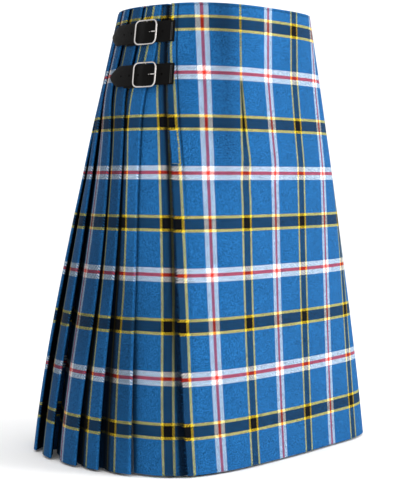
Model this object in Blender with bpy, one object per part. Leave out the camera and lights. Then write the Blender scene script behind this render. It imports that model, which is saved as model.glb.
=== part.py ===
"""Scottish kilt: two flat aprons, knife pleats round the back, and leather straps with buckles.

Metres, +Z up. The kilt is as worn: the wearer faces -Y and the wearer's right is -X.
The origin is the centre of the waist opening, at the height of the upper strap.
Levels are lengths down the cloth from its top edge. Round the body, "along" is the length of the
outline from the wearer's rightmost point, positive towards the back. "Depth" is how far a point
lies inside the outer outline.
"""
import math

import bmesh
import bpy
import numpy as np

# Driving dimensions
LENGTH = 0.610              # cloth from top edge to hem, 24 inches
DROP_PER_LENGTH = 0.985     # height lost for each length of the slanting cloth
TOP_HEIGHT = 0.036          # top edge above the waist line, which is z = 0
CENTRE_Y = 0.042            # centre of the waist opening, behind the section table's own axis
WALL = 0.0012               # heavy wool twill
SEAM_GAP = 0.0008           # between pieces sewn to each other
CLEARANCE = 0.0003          # between pieces that touch
HALF = WALL / 2

# Outline of the worn kilt at four levels: an ellipse at the back, a squarer one in front.
# level, half width, front depth, back depth, front squareness, shift in x, shift in y
SECTIONS = (
    (0.000, 0.1426, 0.0780, 0.1619, 2.71, 0.0000, 0.0008),
    (0.167, 0.1794, 0.0868, 0.1994, 2.97, -0.0011, 0.0000),
    (0.357, 0.2157, 0.0970, 0.2413, 3.28, -0.0024, -0.0009),
    (0.610, 0.2507, 0.1106, 0.2869, 3.68, -0.0041, -0.0021),
)
BACK_SQUARENESS = 2.0
OUTLINE_STEPS = 1440

# Rings that the cloth is made of
CLOTH_TOP = 0.0015          # the pleats end this far below the top, under the waistband
RINGS = (0.0, 0.060, 0.125, 0.180, 0.300, 0.450, LENGTH)

# Knife pleats. Each fold edge points to the wearer's right front and lies over the strip before it.
PLEATS = 18
CLOTH_PER_PLEAT = 0.175
FIRST_TAKE_UPS = {1: 0.135, 2: 0.188, 3: 0.202}     # the maker's uneven pleats at the right side
# Widths of the first strips against the others: level, strips 1 to 4
REVEAL_WEIGHTS = (
    (0.000, 1.50, 1.40, 1.30, 1.20),
    (0.090, 1.50, 1.40, 1.30, 1.20),
    (0.180, 1.00, 0.90, 1.38, 1.30),
    (0.610, 1.05, 0.85, 1.34, 1.32),
)
FOLD_TURNS = (90.0, 31.5, -31.5, -90.0)     # degrees round an outer fold
FIRST_FOLD_TUCK = 0.018     # fold 0 lies this far under the over apron's free edge
FLANGE = 0.045              # cloth turned under to the seams at both ends of the pleats
SEAM_STEPS = 6              # points along that turned cloth
STRIP_STEPS = 3             # points along each part of a strip
FLANGE_START = 0.006        # the turned cloth joins its fold this far from the fold edge
MITRE_LIMIT = 0.35          # smallest share of a side step that a corner is mitred by
TANGENT_REACH = 0.004       # length to each side that the way inward is measured over
# level, over apron's free edge, first visible fold, over apron's left fold (forward of the
# rightmost point round the front), slope of a strip, hidden depth allowed, depth of strip 0
PLEAT_TABLE = (
    (0.000, -0.003, 0.013, 0.375, 0.145, 0.030, 0.0026),
    (0.070, -0.010, 0.013, 0.405, 0.145, 0.045, 0.0028),
    (0.125, -0.018, 0.022, 0.430, 0.145, 0.065, 0.0030),
    (0.225, -0.038, 0.015, 0.470, 0.150, 0.080, 0.0040),
    (0.357, -0.060, 0.001, 0.520, 0.170, 0.080, 0.0055),
    (0.610, -0.097, -0.018, 0.600, 0.210, 0.080, 0.0080),
)

# Aprons
APRON_POINTS = 26
UNDER_APRON_POINTS = 24
UNDER_APRON_DEPTH = 0.0035
UNDER_APRON_EASE = 0.070    # length over which the under apron drops below the pleats' ends
UNDER_APRON_END = 0.020     # its free edge stops this far before the over apron's left fold

# Waistband inside the pleats
BAND_HEIGHT = 0.035
BAND_DEPTH = 0.0150         # its inner face, clear of the pleats' inner folds
BAND_LIP = 0.0006
BAND_POINTS = 40
BAND_START = 0.0065         # from the over apron's free edge, past its fringe
BAND_STOP = 0.0010          # from the over apron's left fold

# Fringe on the over apron's free edge
STRANDS = 100
STRAND_LENGTH = 0.0035
FRINGE_STRIP = 0.0015
FRINGE_WALL = 0.0010

# Straps and buckles
STRAP_WIDTH = 0.0286
STRAP_THICK = 0.0018
STRAP_POINT = 0.022         # length of the pointed tip
TIP_SHARE = 0.16            # width left at the very tip
TIP_POWER = 0.7             # roundness of the point's sides
TAB_WIDTH = 0.028
TAB_THICK = 0.0024
TAB_LENGTH = 0.048
TAB_START = 0.004           # past the centre bar, towards the strap's root
TAB_DROP = 0.0025           # the tab shows below the strap
LEATHER_STEPS = 8           # points along each plain part of a strap or tab
BUCKLE_STEPS = 13           # points along a strap inside its buckle
FRAME_LENGTH = 0.040
FRAME_HEIGHT = 0.0345
FRAME_WIRE = 0.0024
FRAME_CORNER = 0.007
FRAME_RISE = 0.0068         # side bars' centre above the cloth
BAR_RISE = 0.0046           # centre bar's centre above the cloth
BAR_WIRE = 0.0020
PRONG_WIRE = 0.0020
PRONG_BACK = 0.002          # its root lies this far past the centre bar
PRONG_BOW = 0.0004          # it bows up halfway
PRONG_PAST = 0.0008         # and ends past the side bar's middle
# name, root, tip, buckle's centre (all along), level, lean (along for each length down the cloth)
STRAPS = (
    ("upper", -0.0150, 0.121, 0.0290, 0.0373, 0.0),
    ("lower", -0.0225, 0.100, 0.0209, 0.0948, 0.0),
    ("left", 0.484, 0.352, 0.401, 0.0480, 0.58),
)

COLLECTION = "kilt"
CUTTERS = "kilt_cutters"


def clear_scene():
    for obj in list(bpy.data.objects):
        bpy.data.objects.remove(obj, do_unlink=True)


def collection(name):
    group = bpy.data.collections.new(name)
    bpy.context.scene.collection.children.link(group)
    return group


def material(name, colour, roughness, metallic=0.0):
    mat = bpy.data.materials.new(name)
    mat.use_nodes = True
    shader = mat.node_tree.nodes["Principled BSDF"]
    shader.inputs["Base Color"].default_value = (*colour, 1.0)
    shader.inputs["Roughness"].default_value = roughness
    shader.inputs["Metallic"].default_value = metallic
    return mat


def smooth_column(table, column, level):
    """Value of a table's column at a level, on the cubic through its four rows."""
    rows = np.array(table)
    return float(np.polyval(np.polyfit(rows[:, 0], rows[:, column], 3), level))


def table_column(table, column, level):
    """Value of a table's column at a level, straight between its rows."""
    rows = np.array(table)
    return float(np.interp(level, rows[:, 0], rows[:, column]))


def height(level):
    return TOP_HEIGHT - DROP_PER_LENGTH * level


class Outline:
    """The outer outline at one level, with its perimeter and the place of any point near it."""

    def __init__(self, level):
        half_width, front, back, squareness, shift_x, shift_y = (
            smooth_column(SECTIONS, column, level) for column in range(1, 7))
        # The turn runs from the wearer's rightmost point round the back.
        turn = np.linspace(0.0, 2 * math.pi, OUTLINE_STEPS + 1)
        cosine = np.cos(turn)
        sine = np.sin(turn)
        at_back = sine >= 0
        power = np.where(at_back, 2 / BACK_SQUARENESS, 2 / squareness)
        reach = np.where(at_back, back, front)
        x = -half_width * np.sign(cosine) * np.abs(cosine) ** power + shift_x
        y = reach * np.sign(sine) * np.abs(sine) ** power + shift_y - CENTRE_Y
        steps = np.hypot(np.diff(x), np.diff(y))
        self.level = level
        self.along = np.concatenate(([0.0], np.cumsum(steps)))
        self.perimeter = self.along[-1]
        self.x = x
        self.y = y

    def point(self, along):
        along = np.mod(along, self.perimeter)
        return np.interp(along, self.along, self.x), np.interp(along, self.along, self.y)

    def place(self, along, depth, level=None):
        """Points at these lengths along the outline, this deep inside it."""
        along = np.asarray(along, float)
        before = self.point(along - TANGENT_REACH)
        after = self.point(along + TANGENT_REACH)
        tangent_x = after[0] - before[0]
        tangent_y = after[1] - before[1]
        size = np.hypot(tangent_x, tangent_y)
        # Inward lies to the right of the way round: from the right side over the back to the left.
        inward_x = tangent_y / size
        inward_y = -tangent_x / size
        x, y = self.point(along)
        z = np.full_like(along, height(self.level if level is None else level))
        return np.stack((x + depth * inward_x, y + depth * inward_y, z), axis=-1)


def surface_point(along, level, rise):
    """One point above the outer outline at a level."""
    return Outline(level).place(np.array([along]), np.array([-rise]))[0]


def strap_point(along, across, rise, level, lean):
    """One point above the outline, this far across a strap that lies at a level and leans."""
    return surface_point(along + lean * across, level + across, rise)


def offset_path(along, depth, distance):
    """A path in the plane of along and depth, moved sideways, with mitred corners."""
    points = np.stack((along, depth), axis=-1)
    step = np.diff(points, axis=0)
    step /= np.linalg.norm(step, axis=1)[:, None]
    side = np.stack((-step[:, 1], step[:, 0]), axis=-1)
    before = np.vstack((side[:1], side))
    after = np.vstack((side, side[-1:]))
    mitre = before + after
    mitre /= np.maximum((mitre * before).sum(axis=1), MITRE_LIMIT)[:, None]
    moved = points + distance * mitre
    return moved[:, 0], moved[:, 1]


def closed_sheet(name, front, back, mat, group):
    """A closed body between two grids of points, joined by a rim all round."""
    rows, columns = front.shape[:2]
    count = rows * columns
    points = np.concatenate((front.reshape(-1, 3), back.reshape(-1, 3)))

    def at(row, column, side):
        return side * count + row * columns + column

    faces = []
    for row in range(rows - 1):
        for column in range(columns - 1):
            quad = [(row, column), (row, column + 1), (row + 1, column + 1), (row + 1, column)]
            faces.append([at(r, c, 0) for r, c in quad])
            faces.append([at(r, c, 1) for r, c in reversed(quad)])
    rim = [(0, c) for c in range(columns)] + [(r, columns - 1) for r in range(1, rows)]
    rim += [(rows - 1, c) for c in range(columns - 2, -1, -1)] + [(r, 0) for r in range(rows - 2, 0, -1)]
    for (r0, c0), (r1, c1) in zip(rim, rim[1:] + rim[:1]):
        faces.append([at(r0, c0, 1), at(r1, c1, 1), at(r1, c1, 0), at(r0, c0, 0)])
    mesh = bpy.data.meshes.new(name)
    mesh.from_pydata(points.tolist(), [], faces)
    return finish_mesh(name, mesh, mat, group)


def finish_mesh(name, mesh, mat, group, smooth_angle=35):
    shape = bmesh.new()
    shape.from_mesh(mesh)
    bmesh.ops.recalc_face_normals(shape, faces=shape.faces)
    shape.to_mesh(mesh)
    shape.free()
    mesh.shade_smooth()
    mesh.set_sharp_from_angle(angle=math.radians(smooth_angle))
    mesh.materials.append(mat)
    obj = bpy.data.objects.new(name, mesh)
    group.objects.link(obj)
    return obj


def fold_edges(outline):
    """Where the fold edges lie along the outline: 0 under the over apron, the last its left fold."""
    level = outline.level
    free_edge = table_column(PLEAT_TABLE, 1, level)
    first = table_column(PLEAT_TABLE, 2, level)
    last = outline.perimeter - table_column(PLEAT_TABLE, 3, level)
    weights = np.ones(PLEATS - 1)
    for strip in range(1, 5):
        weights[strip - 1] = table_column(REVEAL_WEIGHTS, strip, level)
    reveals = weights * (last - first) / weights.sum()
    return np.concatenate(([free_edge - FIRST_FOLD_TUCK, first], first + np.cumsum(reveals)))


def pleat_sizes(outline):
    """Fold edges, slope, hidden depth of each strip, spacing of strips, and strip 0's depth."""
    level = outline.level
    edges = fold_edges(outline)
    slope = table_column(PLEAT_TABLE, 4, level)
    allowed = table_column(PLEAT_TABLE, 5, level)
    first_depth = table_column(PLEAT_TABLE, 6, level)
    reveals = np.diff(edges)
    take_ups = np.array([FIRST_TAKE_UPS.get(k, CLOTH_PER_PLEAT) for k in range(PLEATS)])
    hidden = np.minimum((take_ups - reveals) / 2, allowed)
    hidden[0] = min((CLOTH_PER_PLEAT - reveals[1]) / 2, allowed)
    hidden[-1] = FLANGE
    spacing = slope * reveals
    spacing[0] = slope * reveals[1:].mean()
    return edges, slope, hidden, spacing, first_depth


def strip_depth(k, along, sizes):
    """Depth of strip k's middle: it slopes inwards from its own fold edge, under the next one."""
    edges, slope, _, spacing, first_depth = sizes
    if k == 0:
        share = np.clip((along - edges[0]) / (edges[1] - edges[0]), 0, 1)
        visible = first_depth + (spacing[0] - first_depth) * share
        return HALF + visible + slope * np.maximum(along - edges[1], 0)
    if k == PLEATS - 1:
        return HALF + slope * np.minimum(along - edges[k], edges[k + 1] - edges[k])
    if k == PLEATS:
        return HALF + 0 * along
    return HALF + slope * (along - edges[k])


def fold_arc(edge, depth, spacing):
    """Points round an outer fold, from the layer beneath to the strip on top."""
    radius = spacing / 4
    angles = np.radians(FOLD_TURNS)
    return edge + radius * (1 - np.cos(angles)), depth + radius * (1 + np.sin(angles))


def pleat_path(outline):
    """Middle line of the pleated cloth, from the seam of the under apron to the over apron's."""
    sizes = pleat_sizes(outline)
    edges, _, hidden, spacing, first_depth = sizes
    along = []
    depth = []

    def add(a, d):
        along.extend(np.atleast_1d(a))
        depth.extend(np.atleast_1d(d))

    start = np.linspace(edges[0] + FLANGE, edges[0] + FLANGE_START, SEAM_STEPS)
    add(start, strip_depth(0, start, sizes) + spacing[0] / 2)
    add(*fold_arc(edges[0], HALF + first_depth, spacing[0]))
    for k in range(PLEATS):
        inner = edges[k + 1] + hidden[k]
        radius = spacing[k] / 4
        shown = np.linspace(edges[k], edges[k + 1], SEAM_STEPS if k == 0 else STRIP_STEPS)[1:]
        beneath = np.linspace(edges[k + 1], inner, SEAM_STEPS if k == PLEATS - 1 else STRIP_STEPS)[1:]
        points = np.concatenate((shown, beneath))
        add(points, strip_depth(k, points, sizes))
        if k < PLEATS - 1:
            points = edges[k + 1] + hidden[k] * np.array([1.0, 2 / 3, 1 / 3]) - np.array([0, radius, radius])
            add(points, strip_depth(k, points, sizes) - spacing[k] / 2)
            add(*fold_arc(edges[k + 1], HALF, spacing[k]))
    return np.array(along), np.array(depth)


def over_apron_path(outline):
    """From the free edge round the front to the left fold, then the turn-under to its seam."""
    sizes = pleat_sizes(outline)
    edges, _, _, spacing, _ = sizes
    free_edge = table_column(PLEAT_TABLE, 1, outline.level)
    left = edges[-1]
    front = np.linspace(free_edge + outline.perimeter, left + spacing[-1], APRON_POINTS)
    arc_along, arc_depth = (part[::-1] for part in fold_arc(left, HALF, spacing[-1]))
    under = np.linspace(left, left + FLANGE, SEAM_STEPS)[1:]
    lap = HALF + spacing[-1] - WALL - SEAM_GAP
    under_depth = np.linspace(HALF + spacing[-1] / 2, lap, SEAM_STEPS)[1:]
    along = np.concatenate((front, arc_along, under))
    depth = np.concatenate((np.full(APRON_POINTS, HALF), arc_depth, under_depth))
    return along, depth


def under_apron_path(outline):
    """From the seam beneath pleat 0 round the front to its free edge at the wearer's left."""
    sizes = pleat_sizes(outline)
    edges, _, _, spacing, _ = sizes
    right = edges[0] + FLANGE + outline.perimeter
    left = edges[-1] + UNDER_APRON_END
    along = np.linspace(right, left, UNDER_APRON_POINTS)
    seam = strip_depth(0, np.array([edges[0] + FLANGE]), sizes)[0] + spacing[0] / 2
    deep_right = seam + WALL + SEAM_GAP
    deep_left = HALF + spacing[-1] + 2 * WALL

    def eased(distance):
        share = np.clip(distance / UNDER_APRON_EASE, 0, 1)
        return 1 - share * share * (3 - 2 * share)

    near_right = eased(right - FLANGE - along)
    near_left = eased(along - (edges[-1] + FLANGE))
    depth = UNDER_APRON_DEPTH + (deep_right - UNDER_APRON_DEPTH) * near_right
    depth = np.maximum(depth, UNDER_APRON_DEPTH + (deep_left - UNDER_APRON_DEPTH) * near_left)
    return along, depth


def cloth_panel(name, path, rings, mat, group):
    """A cloth wall through the rings: the path's middle line, half a wall to each side."""
    outer = []
    inner = []
    for level in rings:
        outline = Outline(level)
        along, depth = path(outline)
        outer.append(outline.place(*offset_path(along, depth, HALF)))
        inner.append(outline.place(*offset_path(along, depth, -HALF)))
    return closed_sheet(name, np.array(outer), np.array(inner), mat, group)


def waistband(mat, group):
    """An angle section along the pleats' top: a lip over their ends and a leg inside them."""
    top = Outline(0.0)
    foot = Outline(BAND_HEIGHT)
    inner = BAND_DEPTH - WALL

    def row(outline, depth, level):
        edges = fold_edges(outline)
        start = edges[0] + FIRST_FOLD_TUCK + BAND_START
        along = np.linspace(start, edges[-1] - BAND_STOP, BAND_POINTS)
        return outline.place(along, np.full(BAND_POINTS, depth), level)

    outside = np.array([row(top, BAND_LIP, WALL), row(top, inner - WALL, WALL),
                        row(foot, inner - WALL, BAND_HEIGHT)])
    inside = np.array([row(top, BAND_LIP, 0.0), row(top, inner, 0.0), row(foot, inner, BAND_HEIGHT)])
    return closed_sheet("waistband", outside, inside, mat, group)


def fringe(mat, group):
    """A narrow strip along the over apron's free edge, with a tapering strand for each thread."""
    levels = np.linspace(0.0, LENGTH, 2 * STRANDS + 1)
    tips = np.arange(len(levels)) % 2 == 1
    sides = []
    for depth in (HALF - FRINGE_WALL / 2, HALF + FRINGE_WALL / 2):
        # Straight between the cloth's own rings, as the apron's edge is.
        rings = []
        for level in RINGS:
            edge = table_column(PLEAT_TABLE, 1, level) + CLEARANCE
            along = edge + np.array([0.0, FRINGE_STRIP, FRINGE_STRIP + STRAND_LENGTH])
            rings.append(Outline(level).place(along, np.full(3, depth)))
        rings = np.array(rings)
        grid = np.empty((len(levels), 3, 3))
        for column in range(3):
            for axis in range(3):
                grid[:, column, axis] = np.interp(levels, RINGS, rings[:, column, axis])
        outer = np.where(tips[:, None], grid[:, 2], grid[:, 1])
        sides.append(np.stack((grid[:, 0], outer), axis=1))
    return closed_sheet("fringe", sides[0], sides[1], mat, group)


def hump(distance, low_right, high, low_left, reach):
    """Height of a strap over its buckle: high over the centre bar, low under the side bars."""
    share = np.clip(np.abs(distance) / reach, 0, 1)
    eased = share * share * (3 - 2 * share)
    low = np.where(distance < 0, low_right, low_left)
    return high + (low - high) * eased


def strap(name, root, tip, buckle, level, lean, mat, group):
    """A leather strap: square at its sewn root, over the centre bar, pointed at its tip."""
    away = 1.0 if tip > root else -1.0
    reach = away * (FRAME_LENGTH / 2 - FRAME_WIRE)
    shoulder = tip - away * STRAP_POINT
    along = np.concatenate((np.linspace(root, buckle - reach, LEATHER_STEPS)[:-1],
                            np.linspace(buckle - reach, buckle + reach, BUCKLE_STEPS),
                            np.linspace(buckle + reach, shoulder, LEATHER_STEPS)[1:],
                            np.linspace(shoulder, tip, SEAM_STEPS)[1:]))
    to_tip = np.abs(tip - along)
    half_width = STRAP_WIDTH / 2 * np.clip(TIP_SHARE + (1 - TIP_SHARE) * (to_tip / STRAP_POINT) ** TIP_POWER, 0, 1)
    on_tab = CLEARANCE + TAB_THICK + CLEARANCE
    over_bar = BAR_RISE + BAR_WIRE / 2 + 2 * CLEARANCE
    bottom = hump((along - buckle) * away, CLEARANCE, over_bar, on_tab, abs(reach))
    under = []
    upper = []
    for across in (-1.0, 0.0, 1.0):
        rows_under = []
        rows_upper = []
        for a, half, base in zip(along, half_width, bottom):
            rows_under.append(strap_point(a, across * half, base, level, lean))
            rows_upper.append(strap_point(a, across * half, base + STRAP_THICK, level, lean))
        under.append(rows_under)
        upper.append(rows_upper)
    return closed_sheet("strap_" + name, np.array(upper), np.array(under), mat, group)


def tab(name, root, tip, buckle, level, lean, mat, group):
    """The buckle's leather tab, flat on the pleats from under the centre bar towards the tip."""
    away = 1.0 if tip > root else -1.0
    near = buckle - away * TAB_START
    along = np.linspace(near, near + away * TAB_LENGTH, LEATHER_STEPS)
    under = []
    upper = []
    for across in (-1.0, 0.0, 1.0):
        over = TAB_DROP + across * TAB_WIDTH / 2
        under.append([strap_point(a, over, CLEARANCE, level, lean) for a in along])
        upper.append([strap_point(a, over, CLEARANCE + TAB_THICK, level, lean) for a in along])
    return closed_sheet("tab_" + name, np.array(upper), np.array(under), mat, group)


def tube(name, points, wire, mat, group, cyclic=False, resolution=2):
    """A wire of round section through the points, as a curve with a bevel."""
    curve = bpy.data.curves.new(name, "CURVE")
    curve.dimensions = "3D"
    curve.bevel_depth = wire / 2
    curve.bevel_resolution = resolution
    curve.use_fill_caps = True
    curve.materials.append(mat)
    spline = curve.splines.new("POLY")
    spline.points.add(len(points) - 1)
    for spot, place in zip(spline.points, points):
        spot.co = (*place, 1.0)
    spline.use_cyclic_u = cyclic
    obj = bpy.data.objects.new(name, curve)
    group.objects.link(obj)
    return obj


def as_mesh(obj):
    """The curve object turned into a mesh object with its caps welded."""
    graph = bpy.context.evaluated_depsgraph_get()
    mesh = bpy.data.meshes.new_from_object(obj.evaluated_get(graph))
    shape = bmesh.new()
    shape.from_mesh(mesh)
    bmesh.ops.remove_doubles(shape, verts=shape.verts, dist=0.00001)
    bmesh.ops.recalc_face_normals(shape, faces=shape.faces)
    shape.to_mesh(mesh)
    shape.free()
    mesh.shade_smooth()
    mesh.set_sharp_from_angle(angle=math.radians(40))
    name = obj.name
    group = obj.users_collection[0]
    curve = obj.data
    bpy.data.objects.remove(obj, do_unlink=True)
    bpy.data.curves.remove(curve)
    made = bpy.data.objects.new(name, mesh)
    group.objects.link(made)
    return made


def frame_rise(distance):
    """The frame is dished: its side bars stand higher over the cloth than its centre bar."""
    share = np.clip(np.abs(distance) / (FRAME_LENGTH / 2 - FRAME_WIRE), 0, 1)
    return BAR_RISE + (FRAME_RISE - BAR_RISE) * share ** 2


def buckle_frame(name, buckle, level, lean, mat, group, cutters):
    """A rounded rectangle of chromed wire with a centre bar, joined to one body."""
    half_long = (FRAME_LENGTH - FRAME_WIRE) / 2
    half_high = (FRAME_HEIGHT - FRAME_WIRE) / 2
    corners = ((1, 1, 0), (-1, 1, 90), (-1, -1, 180), (1, -1, 270))
    outline = []
    for side, up, start in corners:
        for turn in (0, 30, 60, 90):
            angle = math.radians(start + turn)
            across = side * (half_long - FRAME_CORNER) + FRAME_CORNER * math.cos(angle)
            over = up * (half_high - FRAME_CORNER) + FRAME_CORNER * math.sin(angle)
            outline.append((across, over))
        if side == up:
            outline.append((0.0, up * half_high))
    points = [strap_point(buckle + a, -o, frame_rise(a), level, lean) for a, o in outline]
    ring = as_mesh(tube("buckle_" + name, points, FRAME_WIRE, mat, group, cyclic=True, resolution=1))
    ends = [strap_point(buckle, o, BAR_RISE, level, lean) for o in (-half_high, 0.0, half_high)]
    bar = as_mesh(tube("centre_bar_" + name, ends, BAR_WIRE, mat, cutters, resolution=1))
    bar.hide_render = True
    bar.display_type = "WIRE"
    join = ring.modifiers.new("centre bar", "BOOLEAN")
    join.operation = "UNION"
    join.object = bar
    return ring


def prong(name, root, tip, buckle, level, mat, group):
    """The prong, from over the centre bar to its rest on the side bar next to the strap's root."""
    away = 1.0 if tip > root else -1.0
    over_strap = BAR_RISE + BAR_WIRE / 2 + 3 * CLEARANCE + STRAP_THICK + PRONG_WIRE / 2
    on_frame = FRAME_RISE + FRAME_WIRE / 2 + CLEARANCE + PRONG_WIRE / 2
    reach = FRAME_LENGTH / 2
    halfway = (over_strap + on_frame) / 2 + PRONG_BOW
    stations = ((-PRONG_BACK, over_strap), (-reach / 2, halfway),
                (-reach + FRAME_WIRE / 2, on_frame), (-reach - PRONG_PAST, on_frame))
    points = [surface_point(buckle + away * a, level, rise) for a, rise in stations]
    return as_mesh(tube("prong_" + name, points, PRONG_WIRE, mat, group, resolution=1))


def main():
    clear_scene()
    kilt = collection(COLLECTION)
    cutters = collection(CUTTERS)
    wool = material("tartan wool", (0.03, 0.17, 0.47), 0.9)
    dark_wool = material("pleat wool", (0.02, 0.11, 0.33), 0.9)
    leather = material("black leather", (0.012, 0.012, 0.012), 0.5)
    chrome = material("chrome", (0.75, 0.75, 0.76), 0.18, 1.0)

    pleat_rings = (CLOTH_TOP,) + RINGS[1:]
    cloth_panel("pleated_back", pleat_path, pleat_rings, dark_wool, kilt)
    cloth_panel("over_apron", over_apron_path, RINGS, wool, kilt)
    cloth_panel("under_apron", under_apron_path, pleat_rings, wool, kilt)
    waistband(dark_wool, kilt)
    fringe(wool, kilt)
    for name, root, tip, buckle, level, lean in STRAPS:
        strap(name, root, tip, buckle, level, lean, leather, kilt)
        tab(name, root, tip, buckle, level, lean, leather, kilt)
        buckle_frame(name, buckle, level, lean, chrome, kilt, cutters)
        prong(name, root, tip, buckle, level, chrome, kilt)


main()
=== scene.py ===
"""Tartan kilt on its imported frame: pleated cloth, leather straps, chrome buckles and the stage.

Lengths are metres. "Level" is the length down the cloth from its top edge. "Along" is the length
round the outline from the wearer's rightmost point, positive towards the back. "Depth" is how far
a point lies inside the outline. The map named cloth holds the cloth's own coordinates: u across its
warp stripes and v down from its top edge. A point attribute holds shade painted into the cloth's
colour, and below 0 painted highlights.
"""
import math
from typing import NamedTuple

import bmesh
import bpy
import numpy as np
from bpy.props import FloatProperty, FloatVectorProperty, IntProperty, PointerProperty
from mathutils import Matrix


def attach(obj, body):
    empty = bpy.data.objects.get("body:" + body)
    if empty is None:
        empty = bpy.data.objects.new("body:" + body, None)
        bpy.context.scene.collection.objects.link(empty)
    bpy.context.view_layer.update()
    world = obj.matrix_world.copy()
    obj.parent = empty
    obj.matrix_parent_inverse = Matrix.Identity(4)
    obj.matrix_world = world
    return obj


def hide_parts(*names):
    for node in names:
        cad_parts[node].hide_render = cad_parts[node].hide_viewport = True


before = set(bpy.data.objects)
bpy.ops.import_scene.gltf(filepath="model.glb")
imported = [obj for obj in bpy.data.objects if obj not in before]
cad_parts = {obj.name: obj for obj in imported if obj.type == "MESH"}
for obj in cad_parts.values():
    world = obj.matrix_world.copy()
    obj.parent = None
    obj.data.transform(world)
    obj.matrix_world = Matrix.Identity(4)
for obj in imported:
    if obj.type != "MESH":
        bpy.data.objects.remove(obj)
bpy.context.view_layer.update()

bl_info = {
    "name": "Tartan kilt",
    "version": (1, 0, 0),
    "blender": (4, 5, 0),
    "location": "View3D > Sidebar > Kilt",
    "description": "Builds a worn kilt's cloth, straps and buckles on its packed frame",
    "category": "Add Mesh",
}

# Outline of the worn kilt, in the frame's own measures
LENGTH = 0.610
DROP_PER_LENGTH = 0.985
TOP_HEIGHT = 0.036
CENTRE_Y = 0.042
HALF = 0.0006               # half a wall of cloth
# level, half width, front depth, back depth, front squareness, shift in x, shift in y
SECTIONS = (
    (0.000, 0.1426, 0.0780, 0.1619, 2.71, 0.0000, 0.0008),
    (0.167, 0.1794, 0.0868, 0.1994, 2.97, -0.0011, 0.0000),
    (0.357, 0.2157, 0.0970, 0.2413, 3.28, -0.0024, -0.0009),
    (0.610, 0.2507, 0.1106, 0.2869, 3.68, -0.0041, -0.0021),
)
BACK_SQUARENESS = 2.0
OUTLINE_STEPS = 1440
TANGENT_REACH = 0.004       # length to each side that the way inward is measured over

# Knife pleats
PLEATS = 18
CLOTH_TOP = 0.0015          # the pleats end this far below the top, under the waistband
CLOTH_PER_PLEAT = 0.175
FIRST_TAKE_UPS = {1: 0.135, 2: 0.188, 3: 0.202}     # cloth in the first pleats
FIRST_FOLD_COLOUR = -0.034  # the sett's place at the first visible fold edge, at the hem
# How far the sett moves on from one fold edge to the next
FIRST_COLOUR_STEPS = {1: 0.135, 2: 0.188, 3: 0.202, 4: 0.199}
THIRD_STRIPE = 0.040        # from the third fold edge to its white stripes' middle
THIRD_SHARE = 0.62          # share of the strip that they stay within
FIRST_FOLD_TUCK = 0.018
FLANGE = 0.045
PRESSED = 0.0020            # between the cloth's two layers at a pressed fold
INSIDE_LIGHT = 0.65         # how much less the painted shade is deep inside the pleats than at their mouths
MOUTH_START = 0.86          # share of a strip where the painted shade in the next fold's mouth starts, at the top
MOUTH_GROWTH = 0.26         # how much sooner it starts at the hem
MOUTH_SOFTNESS = 0.16
LAP_SHADE = 0.0105          # reach of the painted shadow beside the over apron's free edge
EDGE_LIGHT_REACH = 0.0018   # of the painted highlight on a fold edge
OTHER_STRIPS_SHADE = 0.24   # painted shade on the strips that STRIP_SHADE leaves out
LAP_DARK = 0.93             # that painted shadow's amount
STRIP_COLUMNS = 12
FIRST_STRIP_COLUMNS = 34
EDGE_COLUMNS = [0.012, 0.03]    # shares across a strip of the extra columns beside its fold edge
BACK_COLUMNS = [1.0, 0.6, 0.4, 0.27, 0.16, 0.07]    # shares of the hidden depth on the way back
CROWN = 0.0004              # rise of a strip's middle at the top
CROWN_GROWTH = 0.0007       # added to it at the hem
FOLD_WANDER = 0.0016        # how far a hand-pressed fold edge wanders at the hem
FOLD_LIFT = 0.0026          # how far it may stand off there
WALL_GAP = 0.0008           # between two walls of cloth that lie on each other
# Painted shade for light that falls off on the strips turned away from the key light, over the first strips
# beside the over apron: level, strips 1 to 6
STRIP_SHADE = (
    (0.000, 0.00, 0.56, 0.50, 0.50, 0.38, 0.28),
    (0.300, 0.00, 0.58, 0.54, 0.58, 0.42, 0.30),
    (0.370, 0.42, 0.58, 0.60, 0.62, 0.44, 0.30),
    (0.450, 0.46, 0.38, 0.56, 0.64, 0.44, 0.30),
    (0.520, 0.52, 0.36, 0.38, 0.58, 0.40, 0.28),
    (0.610, 0.28, 0.32, 0.40, 0.42, 0.32, 0.26),
)
# Widths of the first strips against the others: level, strips 1 to 4
REVEAL_WEIGHTS = (
    (0.000, 1.50, 1.40, 1.30, 1.20),
    (0.090, 1.50, 1.40, 1.30, 1.20),
    (0.180, 1.00, 0.90, 1.38, 1.30),
    (0.610, 1.05, 0.85, 1.34, 1.32),
)
# level, over apron's free edge, first visible fold, over apron's left fold (forward round the
# front), slope of a strip, hidden depth allowed, depth of strip 0
PLEAT_TABLE = (
    (0.000, -0.003, 0.013, 0.375, 0.145, 0.030, 0.0026),
    (0.070, -0.010, 0.013, 0.405, 0.145, 0.045, 0.0028),
    (0.125, -0.018, 0.022, 0.430, 0.145, 0.065, 0.0030),
    (0.225, -0.038, 0.015, 0.470, 0.150, 0.080, 0.0040),
    (0.357, -0.060, 0.001, 0.520, 0.170, 0.080, 0.0055),
    (0.610, -0.097, -0.018, 0.600, 0.210, 0.080, 0.0080),
)
# level, how far the first visible fold is pressed off the straight of the cloth
FOLD_DRIFT = (
    (0.000, 0.0130),
    (0.083, 0.0099),
    (0.104, 0.0014),
    (0.160, 0.0000),
    (0.225, 0.0045),
    (0.300, 0.0080),
    (0.380, 0.0080),
    (0.480, 0.0030),
    (0.610, 0.0000),
)
# level, place of strip 0's dark stripe
STRIP_ZERO_STRIPE = (
    (0.000, 0.0075),
    (0.070, 0.0005),
    (0.125, -0.0065),
    (0.167, -0.0150),
    (0.357, -0.046),
    (0.563, -0.067),
    (0.610, -0.072),
)

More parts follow.
